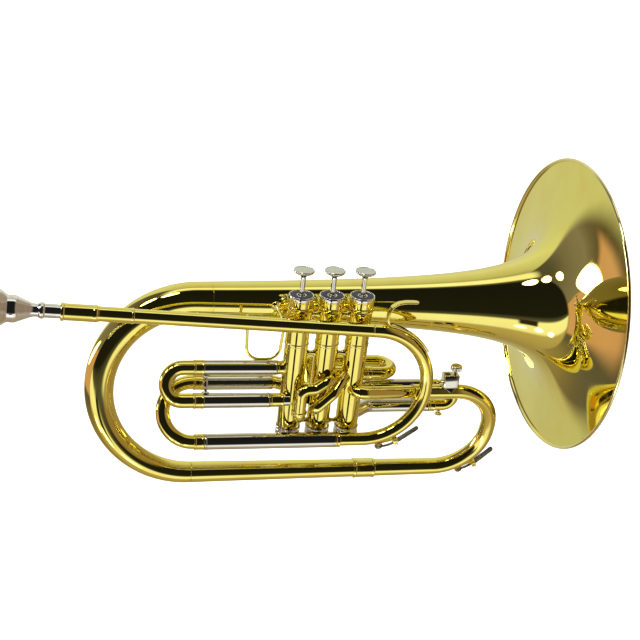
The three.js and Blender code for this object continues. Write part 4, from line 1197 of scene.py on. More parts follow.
@dataclass
class FirstSlide:
    """The first valve's slide, which runs over two fixed tubes, and its thumb saddle.

    Args:
        high: the (y, z) of the upper leg.
        low: the (y, z) of the lower leg.
        crook_x: the crook's furthest centre line.
        bend: the crook's corner radius.
        valve_x: the X of the first valve.
    """

    high: tuple[float, float] = (0.0, -6.0)
    low: tuple[float, float] = (-10.6, -33.4)
    crook_x: float = -141.5
    bend: float = 14.2
    valve_x: float = CASING_X[0]

    def fixed(self, shop: Workshop) -> None:
        """Draws the fixed inner tubes and the brass stubs at the casing."""
        for name, leg, end in (("upper", self.high, -44.0), ("lower", self.low, -50.0)):
            line = Path([level(-118, leg), level(self.valve_x - 3.4, leg)])
            shop.fit(f"first_inner_{name}", [entering(tube(line, 5.6, None, 0.6, 56, 4.0), line)],
                     Finish.NICKEL)
            stub = ferrule(level(end + GAP, leg), level(self.valve_x - 9.6, leg), 6.3, 5.5)
            shop.fit(f"first_stub_{name}", [stub], Finish.LACQUER)

    def slide(self, shop: Workshop) -> None:
        """Bends the brass crook, draws the nickel sleeves and sets the cross brace."""
        crook = Path([level(-108, self.high), level(self.crook_x, self.high), level(self.crook_x, self.low),
                      level(-108, self.low)], self.bend)
        rings = [ferrule(level(-118, leg), level(-108.5, leg), 7.0, 6.1) for leg in (self.high, self.low)]
        shop.fit("first_slide_crook", [tube(crook, 6.6, None, 0.6, 64), *rings], Finish.LACQUER,
                 "first_slide")
        sleeves = [
            tube(Path([level(-113, self.high), level(-44, self.high)]), 6.75, None, 0.6, 64, 4.0,
                 [(68.2, 0.25, 0.8)]),
            tube(Path([level(-113, self.low), level(-50, self.low)]), 6.75, None, 0.6, 64, 4.0,
                 [(62.2, 0.25, 0.8)]),
        ]
        upper, lower = (np.array(level(-107, leg)) for leg in (self.high, self.low))
        across = unit(lower - upper)
        start, stop = upper + 6.5 * across, lower - 6.5 * across
        reach = float(np.linalg.norm(stop - start))
        beads = [(0, 0), (3.6, 0), (3.4, 1), (1.5, 2), (1.3, 4.4), (2.2, 6), (2.2, reach - 6),
                 (1.3, reach - 4.4), (1.5, reach - 2), (3.4, reach - 1), (3.6, reach), (0, reach)]
        sleeves.append(turning(beads, Path([start, stop]), 32, 0.4))
        shop.fit("first_slide", sleeves, Finish.NICKEL, "first_slide")

    def saddle(self, shop: Workshop) -> None:
        """Bends the thumb saddle's wire and sets its foot."""
        y, foot = self.high[0], self.high[1] + 7.05
        wire = Path([[-73.5, y, foot + 45], [-71.5, y, foot + 1.4], [-42.5, y, foot + 1.4],
                     [-40.6, y, foot + 30]], 12)
        pad = block([-64.5, y - 2.25, foot - 0.2], [-52.5, y + 2.25, foot + 1.5], 0.5)
        shop.fit("thumb_saddle", [bar(wire, 1.4, 24, 1.2, reference=(0, 1, 0)), pad], Finish.LACQUER,
                 "first_slide")

    def build(self, shop: Workshop) -> None:
        """Builds the fixed tubes, the slide and the thumb saddle."""
        self.fixed(shop)
        self.slide(shop)
        self.saddle(shop)


@dataclass
class SecondSlide:
    """The second valve's short slide, lying level behind the third valve.

    Args:
        z: the slide's height.
        front_y: the near leg.
        rear_y: the far leg.
        crook_x: the crook's furthest centre line.
    """

    z: float = -22.8
    front_y: float = 19.5
    rear_y: float = 44.5
    crook_x: float = 73.0

    def build(self, shop: Workshop) -> None:
        """Bends the two fixed tubes and the slide, and turns its ferrules."""
        near = Path([[2, 0, self.z], [2, self.front_y, self.z], [45, self.front_y, self.z]], 7.2)
        far = Path([[-7.2, 0, self.z - 16], [-7.2, 22, self.z - 16], [-7.2, self.rear_y, self.z],
                    [45, self.rear_y, self.z]], 7.2)
        shop.fit("second_outer_front", [entering(tube(near, 6.75, None, 0.6), near)], Finish.LACQUER)
        shop.fit("second_outer_rear", [entering(tube(far, 6.75, None, 0.6), far)], Finish.LACQUER)
        legs = [(self.front_y, self.z), (self.rear_y, self.z)]
        crook = Path([level(24, legs[0]), level(self.crook_x, legs[0]), level(self.crook_x, legs[1]),
                      level(24, legs[1])], 12.4)
        rings = [ferrule(level(45.3, leg), level(51, leg), 6.6, 5.7, 0.25) for leg in legs]
        shop.fit("second_slide", [tube(crook, 6.0, None, 0.5), *rings], Finish.LACQUER, "second_slide")


@dataclass
class ThirdSlide:
    """The third valve's slide, a U on edge towards the bell, with its pull knob.

    Args:
        y: the slide's plane.
        high: the upper leg's height.
        low: the lower leg's height.
        crook_x: the crook's furthest centre line.
        valve_x: the X of the third valve.
    """

    y: float = 20.5
    high: float = -37.0
    low: float = -57.6
    crook_x: float = 137.0
    valve_x: float = CASING_X[2]

    def fixed(self, shop: Workshop) -> None:
        """Bends the two fixed tubes out of the casing's back."""
        for name, z in (("upper", self.high), ("lower", self.low)):
            way = Path([[self.valve_x + 2, 3, z], [self.valve_x + 24, self.y, z], [112, self.y, z]], 16)
            pipe = tube(way, 6.75, None, 0.6, 64, 3.0, [(way.length - 0.9, 0.25, 0.8)])
            shop.fit(f"third_outer_{name}", [entering(pipe, way)], Finish.NICKEL)

    def slide(self, shop: Workshop) -> None:
        """Bends the crook and turns its ferrules and the knob below."""
        legs = [(self.y, self.high), (self.y, self.low)]
        crook = Path([level(66, legs[0]), level(self.crook_x, legs[0]), level(self.crook_x, legs[1]),
                      level(66, legs[1])], 10.2)
        rings = [ferrule(level(112.3, leg), level(119, leg), 6.6, 5.7, 0.25) for leg in legs]
        shop.fit("third_slide", [tube(crook, 6.0, None, 0.5), *rings], Finish.LACQUER, "third_slide")
        top = self.low - 5.6
        knob = [(0, top), (2.6, top), (2.3, top - 0.7), (1.4, top - 1.8), (2.2, top - 3), (3.7, top - 3.8),
                (3.9, top - 4.8), (3.2, top - 5.7), (0, top - 5.9)]
        line = Path([[125, self.y, 0], [125, self.y, 1]])
        shop.fit("third_slide_knob", [turning(knob, line, 40, 0.5)], Finish.NICKEL, "third_slide")

    def build(self, shop: Workshop) -> None:
        """Builds the fixed tubes and the slide."""
        self.fixed(shop)
        self.slide(shop)


@dataclass
class Valve:
    """One piston valve, from its button to its bottom cap.

    Args:
        number: which valve, from 1 at the player's end.
        pitch: the distance between valves.
        casing_r: the casing's radius.
        bore: the casing's inner radius.
        top: the casing's upper end.
        bottom: the casing's lower end.
        seam: the height of the ring round the casing.
        cap_r: the caps' radius.
        cap_top: the top cap's height.
        cap_floor: the bottom cap's lowest point.
        button_top: the button's height.
    """

    number: int
    pitch: float = CASING_PITCH
    casing_r: float = CASING_R
    bore: float = 9.5
    top: float = 56.5
    bottom: float = -66.0
    seam: float = 19.5
    cap_r: float = 11.3
    cap_top: float = 66.0
    cap_floor: float = -79.0
    button_top: float = 89.5

    @property
    def x(self) -> float:
        """The valve's X."""
        return (self.number - 2) * self.pitch

    @property
    def axis(self) -> Path:
        """The valve's axis, distances counting as heights."""
        return Path([[self.x, 0, 0], [self.x, 0, 1]])

    def casing(self, shop: Workshop) -> None:
        """Turns the casing with its seam ring."""
        r, s = self.casing_r, self.seam
        outline = [(r, self.bottom), (r, s - 1.5), (r + 0.45, s - 1.1), (r + 0.45, s + 0.9), (r, s + 1.3),
                   (r, self.top), (self.bore, self.top), (self.bore, self.bottom)]
        shop.fit(f"valve_casing_{self.number}", [turning(outline, self.axis, 80)], Finish.LACQUER)

    def caps(self, shop: Workshop) -> None:
        """Turns both caps: a knurled skirt, a dished top with a raised rim, and a vented bottom."""
        c, t, f, n = self.cap_r, self.cap_top, self.cap_floor, self.number
        stem = 3.2
        skirt = [(10.9, 51), (c - 0.35, 51), (c, 51.5), (c, 55.6), (c - 0.45, 56.1), (c - 0.45, 60.9),
                 (c, 61.4), (c, 62.6), (10.9, 62.8)]
        shop.fit(f"top_cap_skirt_{n}", [turning(skirt, self.axis, 288, 0.2, 72, [(51.6, 55.4)], 0.22)],
                 Finish.LACQUER)
        rim = [(10.9, 62.6), (c, 62.7), (c + 0.05, 63.2), (c + 0.05, 64.9), (c - 0.35, t - 0.2), (c - 0.8, t),
               (c - 1.4, t - 0.5), (c - 1.6, t - 1.9), (stem + 1.5, t - 1.9), (stem + 1.3, t - 0.4),
               (stem + 0.8, t - 0.2), (stem + 0.1, t - 0.6), (stem, 58.5), (8.9, 58.5), (10.9, 57.5)]
        shop.fit(f"top_cap_{n}", [turning(rim, self.axis, 96, 0.35)], Finish.SILVER)
        felt = [(stem + 1.7, t - 1.85), (c - 1.75, t - 1.85), (c - 1.7, t - 0.5), (c - 2.3, t - 0.1),
                (stem + 2.3, t - 0.1), (stem + 1.7, t - 0.5)]
        shop.fit(f"cap_felt_{n}", [turning(felt, self.axis, 72, 0.4)], Finish.FELT)
        cup = [(10.9, -64.7), (c - 0.2, -64.7), (c + 0.1, -65.2), (c + 0.1, -66.6), (c - 0.3, -67.1),
               (c - 0.3, -68), (c, -68.4), (c, f + 5.4), (c - 0.4, f + 4.6), (c - 1.6, f + 2.6),
               (c - 3.4, f + 1.5), (5.4, f + 1.2), (4.4, f + 0.5), (3.6, f), (1.5, f), (1.4, f + 2.4),
               (8, f + 3), (10.2, f + 5), (10.9, f + 6.4)]
        shop.fit(f"bottom_cap_{n}", [turning(cup, self.axis, 288, 0.25, 72, [(-73.6, -68.6)], 0.22)],
                 Finish.SILVER)

    def action(self, shop: Workshop) -> None:
        """Turns the stem and button and its satin face, and dresses the piston."""
        n, t = self.number, self.button_top
        body = f"piston_{n}"
        outline = [(0, 41.3), (2.3, 41.3), (2.3, t - 8.2), (2.45, t - 6.9), (3.2, t - 5.7), (5, t - 4.6),
                   (7.3, t - 3.5), (8.8, t - 2.4), (9.4, t - 1.3), (9.3, t - 0.5), (8.75, t),
                   (8.25, t - 0.15), (8.1, t - 0.45), (0, t - 0.5)]
        shop.fit(f"finger_button_{n}", [turning(outline, self.axis, 80, 0.45)], Finish.SILVER, body,
                 (f"finger_button_{n}",), 60)
        face = [(0, t - 1.2), (8.05, t - 1.2), (8.05, t - 0.42), (0, t - 0.36)]
        shop.fit(f"button_face_{n}", [turning(face, self.axis, 64, 0.08)], Finish.SATIN, body)
        shop.dress(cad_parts[f"piston_{n}"], Finish.NICKEL)

    def spring(self, shop: Workshop) -> None:
        """Winds the return spring: a helix of even pitch."""
        turns, radius, wire, foot, head = 5.5, 6.6, 0.6, self.cap_floor + 3, -44.0
        share = np.linspace(0, 1, 165)
        angle = 2 * math.pi * turns * share
        coil = np.stack([self.x + radius * np.cos(angle), radius * np.sin(angle),
                         foot + (head - foot) * share], axis=-1)
        obj = shop.fit(f"return_spring_{self.number}", [bar(Path(coil), wire, 12, 1.6, reference=(0, 0, 1))],
                       Finish.STEEL, nodes=(f"valve_spring_{self.number}",))
        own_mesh(obj)

    def build(self, shop: Workshop) -> None:
        """Builds the valve's pieces from the casing outwards."""
        self.casing(shop)
        self.caps(shop)
        self.action(shop)
        self.spring(shop)


@dataclass
class ValveBlock:
    """The three valves with the tubes and bridges between them.

    Args:
        pitch: the distance between valves.
        outlet_start: where the outlet tube leaves the third valve.
        outlet_end: where it meets the front bow.
    """

    pitch: float = CASING_PITCH
    outlet_start: tuple[float, float, float] = (CASING_X[2], -16.5, -24.0)
    outlet_end: tuple[float, float, float] = (92.0, -4.6, -29.6)

    def bridges(self, shop: Workshop) -> None:
        """Turns the waisted posts that brace each casing to the next."""
        gap = self.pitch - 2 * CASING_R
        parts = []
        for x in (-self.pitch + CASING_R, CASING_R):
            for z in (-61, 9, 47):
                s = gap / 2
                beads = [(0, -0.6), (3.6, -0.4), (3, 0.5), (2.2, 1.4), (1.9, s), (2.2, gap - 1.4),
                         (3, gap - 0.5), (3.6, gap + 0.4), (0, gap + 0.6)]
                parts.append(turning(beads, Path([[x, 0, z], [x + 1, 0, z]]), 32, 0.5))
        shop.fit("casing_bridges", parts, Finish.LACQUER)

    def crossovers(self, shop: Workshop) -> None:
        """Bends the tube that climbs from the first valve's foot and the slanting tube beside it."""
        x, foot = 5.1 - self.pitch, -49.0
        elbow = Path([[x + 1.5, -4, foot], [x, -18, foot], [x, -18.2, -19.5], [-10, -18.2, -18.5],
                      [3, -16.4, -10.5], [5.5, -5, -9]], 6)
        ring = [(5.9, 6), (6.5, 6), (6.7, 6.5), (6.7, 7.9), (6.4, 8.4), (5.9, 8.4)]
        collar = turning(ring, Path([[x, -18, foot], [x, -18.2, -19.5]]), 56, 0.2)
        shop.fit("crossover_front", [entering(tube(elbow, 6.1, 5.1), elbow), collar], Finish.LACQUER)
        slant = Path([[-5, -3, -43], [-10, -17.4, -42], [8, -17.2, -23.5], [15.5, -10, -15.5],
                      [22, -4, -11.5]], 6)
        shop.fit("crossover_rear", [entering(tube(slant, 5.0), slant)], Finish.LACQUER)

    def outlet(self, shop: Workshop) -> None:
        """Bends the outlet tube, with a ferrule where it meets the front bow."""
        x, y, z = self.outlet_start
        way = Path([[x, 0, z], [x, y, z], list(self.outlet_end)], 9)
        shop.fit("outlet_tube", [entering(tube(way, 6.0, 6.1), way)], Finish.LACQUER)
        start, stop = np.array([x, y, z]), np.array(self.outlet_end)
        along = unit(stop - start)
        joint = ferrule(stop - 7 * along, stop + 5 * along, 7.1, 6.0)
        shop.fit("outlet_ferrule", [joint], Finish.LACQUER)

    def build(self, shop: Workshop) -> None:
        """Builds the valves, then what joins them."""
        for number in (1, 2, 3):
            Valve(number).build(shop)
        self.bridges(shop)
        self.crossovers(shop)
        self.outlet(shop)


@dataclass
class Fittings:
    """Braces, finger hook, music holder socket and its screw.

    Args:
        bow_centre: the (x, z) of the leadpipe bow's upper arc.
        bow_r: that arc's radius.
        pipe_y: the leadpipe's Y.
        lyre: the (x, y, z) of the socket on the front bow's centre line.
        lyre_top: the socket's top.
    """

    bow_centre: tuple[float, float] = (37.8, -13.9)
    bow_r: float = 54.5
    pipe_y: float = -20.0
    post: tuple[float, float] = (-44.2, 44.0)
    lyre: tuple[float, float, float] = (122.0, -2.5, -30.6)
    lyre_top: float = -12.0

    def post_brace(self, shop: Workshop, bell_r: float) -> None:
        """Turns the beaded post between the leadpipe and the bell."""
        x, z = self.post
        start, stop = self.pipe_y + 6.0, BELL_AXIS[0] - bell_r + 0.3
        reach = stop - start
        half = [(0, 0), (4.4, 0), (4.4, 0.5), (3.6, 1.5), (1.9, 2.7), (1.5, 4.2), (1.6, 6), (2.7, 7.2),
                (3.1, 8), (2.7, 8.8), (1.7, 10), (1.9, reach / 2)]
        outline = half + [(r, reach - s) for r, s in half[:-1][::-1]]
        line = Path([[x, start, z], [x, start + 1, z]])
        shop.fit("post_brace", [turning(outline, line, 40, 0.5)], Finish.LACQUER)

    def outlet_brace(self, shop: Workshop) -> None:
        """Turns the short block between the outlet tube and the leadpipe's bow."""
        x, z, start, stop = 90.3, -28.4, self.pipe_y + 5.6, -11.2
        outline = [(0, 0), (4.6, 0), (4.3, 0.9), (3.4, 1.4), (3.2, 1.9), (4.2, 2.6), (4.6, stop - start),
                   (0, stop - start)]
        shop.fit("outlet_brace", [turning(outline, Path([[x, start, z], [x, start + 1, z]]), 40, 0.3)],
                 Finish.LACQUER)

    def finger_hook(self, shop: Workshop) -> None:
        """Bends the hook: a foot along the bow's shoulder, then up and over towards the bell."""
        cx, cz = self.bow_centre
        seat = self.bow_r + 6.3 + 0.8
        angles = np.radians(np.arange(34, 79, 4.0))
        foot = np.stack([cx + seat * np.cos(angles), np.full(len(angles), self.pipe_y),
                         cz + seat * np.sin(angles)], axis=-1)
        x, z = float(foot[-1][0]), float(foot[-1][2])
        rise = np.array([[x - 2.6, z + 2.6], [x - 3.4, z + 7], [x - 2.9, z + 12.4], [x - 0.4, z + 17.6],
                         [x + 4.4, z + 20.8], [x + 11, z + 22], [x + 17, z + 22.1], [x + 23, z + 21.8]])
        over = np.stack([rise[:, 0], np.full(len(rise), self.pipe_y), rise[:, 1]], axis=-1)
        way = Path(np.concatenate([foot, over]), 3.2)
        hook = strap(way, 6.8, 1.7, 0.7, 1.0, 0.92, True, (0, 1, 0))
        shop.fit("finger_hook", [hook], Finish.LACQUER, crease=60)

    def saddle_plate(self) -> Surface:
        """The thin plate bent over the bow under the socket, each side running down to a point.

        Formula: an arc round the bow's axis; the plate's width falls evenly from the top to the tips.
        """
        x, y, z = self.lyre
        radius, half = 7.35, 74.0
        angles = np.radians(np.linspace(-half, half, 41))
        ring = np.stack([np.full(41, x), y + radius * np.sin(angles), z + radius * np.cos(angles)], axis=-1)
        way = Path(ring)
        run = np.linspace(0, way.length, 41)
        off_top = np.abs(run / way.length * 2 - 1)
        width = 1.2 + 17.6 * np.clip(1.25 - 1.25 * off_top, 0, 1)
        sections = rounded_rectangle(width, np.full(41, 0.9), np.full(41, 0.35))
        run = np.concatenate([run[:1], run, run[-1:]])
        sections = np.concatenate([sections[:1] * 0.01, sections, sections[-1:] * 0.01])
        return carry(way, run, sections, reference=(1, 0, 0))

    def lyre_socket(self, shop: Workshop) -> None:
        """Shapes the socket: a block with a square bore, a V saddle on the bow and its screw."""
        x, y, z = self.lyre
        seat, top = z + 6.3, self.lyre_top
        rows = np.array([seat, seat, seat + 0.5, top - 0.5, top - 0.1, top, top, top - 0.6, seat + 3,
                         seat + 2.9])
        out = np.array([14.0, 14.6, 15.0, 15.0, 14.6, 14.0])
        deep = out - 4.0
        corner = np.array([1.2, 1.4, 1.6, 1.6, 1.4, 1.2])
        outer = rounded_rectangle(out, deep, corner)
        inner = rounded_rectangle(np.array([5.6, 5.2, 5.2, 5.0]), np.array([5.6, 5.2, 5.2, 5.0]),
                                  np.full(4, 0.5))
        inner[..., 0] -= 3.4
        sections = np.concatenate([outer, inner])
        line = Path([[x, y, 0], [x, y, 1]])
        body = carry(line, rows, sections, np.array([0, 1, 0, 0, 1, 1, 1, 0, 0, 0.0]), None, True, (1, 0, 0))
        shop.fit("lyre_socket", [body, self.saddle_plate()], Finish.NICKEL)
        screw = [(0, z + 10.5), (1.5, z + 10.5), (1.5, top + 2.6), (2.8, top + 3.4), (5.1, top + 4.2),
                 (5.6, top + 4.8), (5.6, top + 7.6), (5, top + 8.6), (4.2, top + 9), (0, top + 9.2)]
        line = Path([[x + 4.2, y, 0], [x + 4.2, y, 1]])
        head = turning(screw, line, 144, 0.3, 24, [(top + 4.6, top + 8)], 0.5)
        shop.fit("lyre_screw", [head], Finish.NICKEL, "lyre_screw")

    def build(self, shop: Workshop, bell_r: float) -> None:
        """Builds the braces and the fittings."""
        self.post_brace(shop, bell_r)
        self.outlet_brace(shop)
        self.finger_hook(shop)
        self.lyre_socket(shop)


@dataclass
class WaterKey:
    """A water key on the outside of a bow: saddle, spout, lever, cork and spring.

    Args:
        number: which key.
        corner: the (x, y, z) of the bow's lower corner.
        bend: the bow's corner radius.
        slope: how far round the corner the key hangs, in degrees.
        lean: the bow's sideways lean, in degrees.
        pipe_r: the pipe's radius there.
        pin: the (x, z) of the pin in the key's own plane.
    """

    number: int
    corner: tuple[float, float, float]
    bend: float
    slope: float
    lean: float
    pipe_r: float
    pin: tuple[float, float] = (16.0, -4.2)

    def hang(self, surface: Surface) -> Surface:
        """Moves a shape from the key's own plane to its place under the bow."""
        drop = self.bend * (1 - math.cos(math.radians(self.slope)))
        lean = math.radians(self.lean)
        centre = [self.corner[0] - self.bend * (1 - math.sin(math.radians(self.slope))),
                  self.corner[1] - drop * math.sin(lean), self.corner[2] + drop * math.cos(lean)]
        turn = turn_about("X", self.lean) @ turn_about("Y", -self.slope)
        lowered = surface.moved(np.eye(3), (0, 0, -self.pipe_r - GAP))
        return lowered.moved(turn, centre)

    def build(self, shop: Workshop) -> None:
        """Builds the saddle, then the lever with its cork and spring."""
        px, pz = self.pin
        upright = Path([[0, 0, 0], [0, 0, 1]])
        spout = turning([(1.3, 0.4), (3.4, 0.4), (3, -0.9), (2.6, -1.6), (2.6, -2.2), (1.3, -2.2)], upright,
                        32, 0.2)
        plate = block([-0.5, -1.9, -1.6], [17.5, 1.9, -0.4], 0.4)
        ears = [block([px - 2.3, side * 3.9 - 0.7, -6], [px + 2.3, side * 3.9 + 0.7, -0.5], 0.6)
                for side in (-1, 1)]
        yoke = block([px - 2.5, -4.6, -1.6], [px + 2.5, 4.6, -0.4], 0.4)
        pin = turning([(0, -5), (1.3, -5), (1.3, -4.7), (0.9, -4.6), (0.9, 4.6), (1.5, 4.7), (1.5, 5.2),
                       (0, 5.2)],
                      Path([[px, 0, pz], [px, 1, pz]]), 24, 0.15)
        shop.fit(f"water_key_saddle_{self.number}", [self.hang(s) for s in (spout, plate, *ears, yoke)],
                 Finish.LACQUER)
        shop.fit(f"water_key_pin_{self.number}", [self.hang(pin)], Finish.NICKEL)
        body = f"water_key_{self.number}"
        cup = turning([(0, -5.9), (2.4, -5.9), (3.6, -5.3), (3.9, -4.2), (3.9, -3), (3.3, -3), (0, -3.2)],
                      upright, 40, 0.3)
        arm = strap(Path([[1, 0, -5.4], [8, 0, -5.8], [13, 0, -5.3], [px, 0, pz - 0.6]], 4), 2.6, 1.5, 0.5,
                    0.8, reference=(0, 1, 0))
        barrel = turning([(0, -3), (1.7, -3), (1.9, -2.5), (1.7, -2), (1.7, 2), (1.9, 2.5), (1.7, 3), (0, 3)],
                         Path([[px, 0, pz], [px, 1, pz]]), 32, 0.2)
        rise = math.radians(21)
        tip = np.array([px + 25.5 * math.cos(rise), 0, pz + 25.5 * math.sin(rise)])
        knee = np.array([px + 4 * math.cos(rise), 0, pz + 4 * math.sin(rise)])
        finger = strap(Path([[px, 0, pz], knee, tip]), 6.2, 1.5, 0.6, 0.9, 1.0, True, (0, 1, 0))
        shop.fit(f"water_key_lever_{self.number}", [self.hang(s) for s in (cup, arm, barrel, finger)],
                 Finish.STEEL, body)
        cork = turning([(0, -3.2), (3.1, -3.2), (3.1, -2.4), (2.8, -2.2), (0, -2.2)], upright, 32, 0.2)
        shop.fit(f"water_key_cork_{self.number}", [self.hang(cork)], Finish.CORK, body)
        turns = np.linspace(0, 2 * math.pi * 3, 110)
        coil = np.stack([px + 2.3 * np.cos(turns), np.linspace(-2.6, 2.6, 110), pz + 2.3 * np.sin(turns)],
                        axis=-1)
        shop.fit(f"water_key_spring_{self.number}",
                 [self.hang(bar(Path(coil), 0.3, 10, 0.7, reference=(0, 1, 0)))], Finish.NICKEL, body)


# ------------------------------------------------------------------ studio


@dataclass(frozen=True)
class Lamp:
    """An oval lamp that only polished metal shows.

    Args:
        way: the direction in which it stands.
        spread: half the angle that its long side takes up, in degrees.
        power: how bright it is beside the white backdrop.
        side: the direction of its long side.
        narrow: half the angle across; the same as the spread when left out.
    """

    way: tuple[float, float, float]
    spread: float
    power: float
    side: tuple[float, float, float] = (0.0, 0.0, 1.0)
    narrow: Optional[float] = None

    def mask(self, wires: Wiring, seen: bpy.types.NodeSocket) -> bpy.types.NodeSocket:
        """Where the lamp shows.

        Formula: with c the lamp's direction and u, v the directions along and across it, a direction d
        lies inside while (d.u / spread)^2 + (d.v / narrow)^2 < 1 and d.c > 0.
        """
        centre = unit(np.asarray(self.way, float))
        length = unit(np.asarray(self.side, float) - centre * float(centre @ np.asarray(self.side, float)))
        across = np.cross(centre, length)
        narrow = self.spread if self.narrow is None else self.narrow
        total = None
        for axis, spread in ((length, self.spread), (across, narrow)):
            scaled = tuple(float(c) for c in axis / math.sin(math.radians(spread)))
            dot = wires.add("ShaderNodeVectorMath", {"operation": "DOT_PRODUCT"},
                            {0: seen, 1: scaled}).outputs["Value"]
            square = wires.math("MULTIPLY", dot, dot)
            total = square if total is None else wires.math("ADD", total, square)
        facing = wires.add("ShaderNodeVectorMath", {"operation": "DOT_PRODUCT"}, {
            0: seen, 1: tuple(float(c) for c in centre)}).outputs["Value"]
        inside = wires.ramp(total, 0.8, 1.0, 1.0, 0.0)
        return wires.math("MULTIPLY", inside, wires.ramp(facing, 0.0, 0.2))


@dataclass(frozen=True)
class Stop:
    """One colour on a ramp.

    Args:
        at: its place on the ramp, in the ramp's own unit.
        light: its brightness.
        tint: its colour.
    """

    at: float
    light: float
    tint: tuple[float, float, float] = (1.0, 1.0, 1.0)


WARM = (1.0, 0.80, 0.55)
LEMON = (1.0, 1.0, 0.82)
MAUVE = (0.95, 0.84, 1.0)


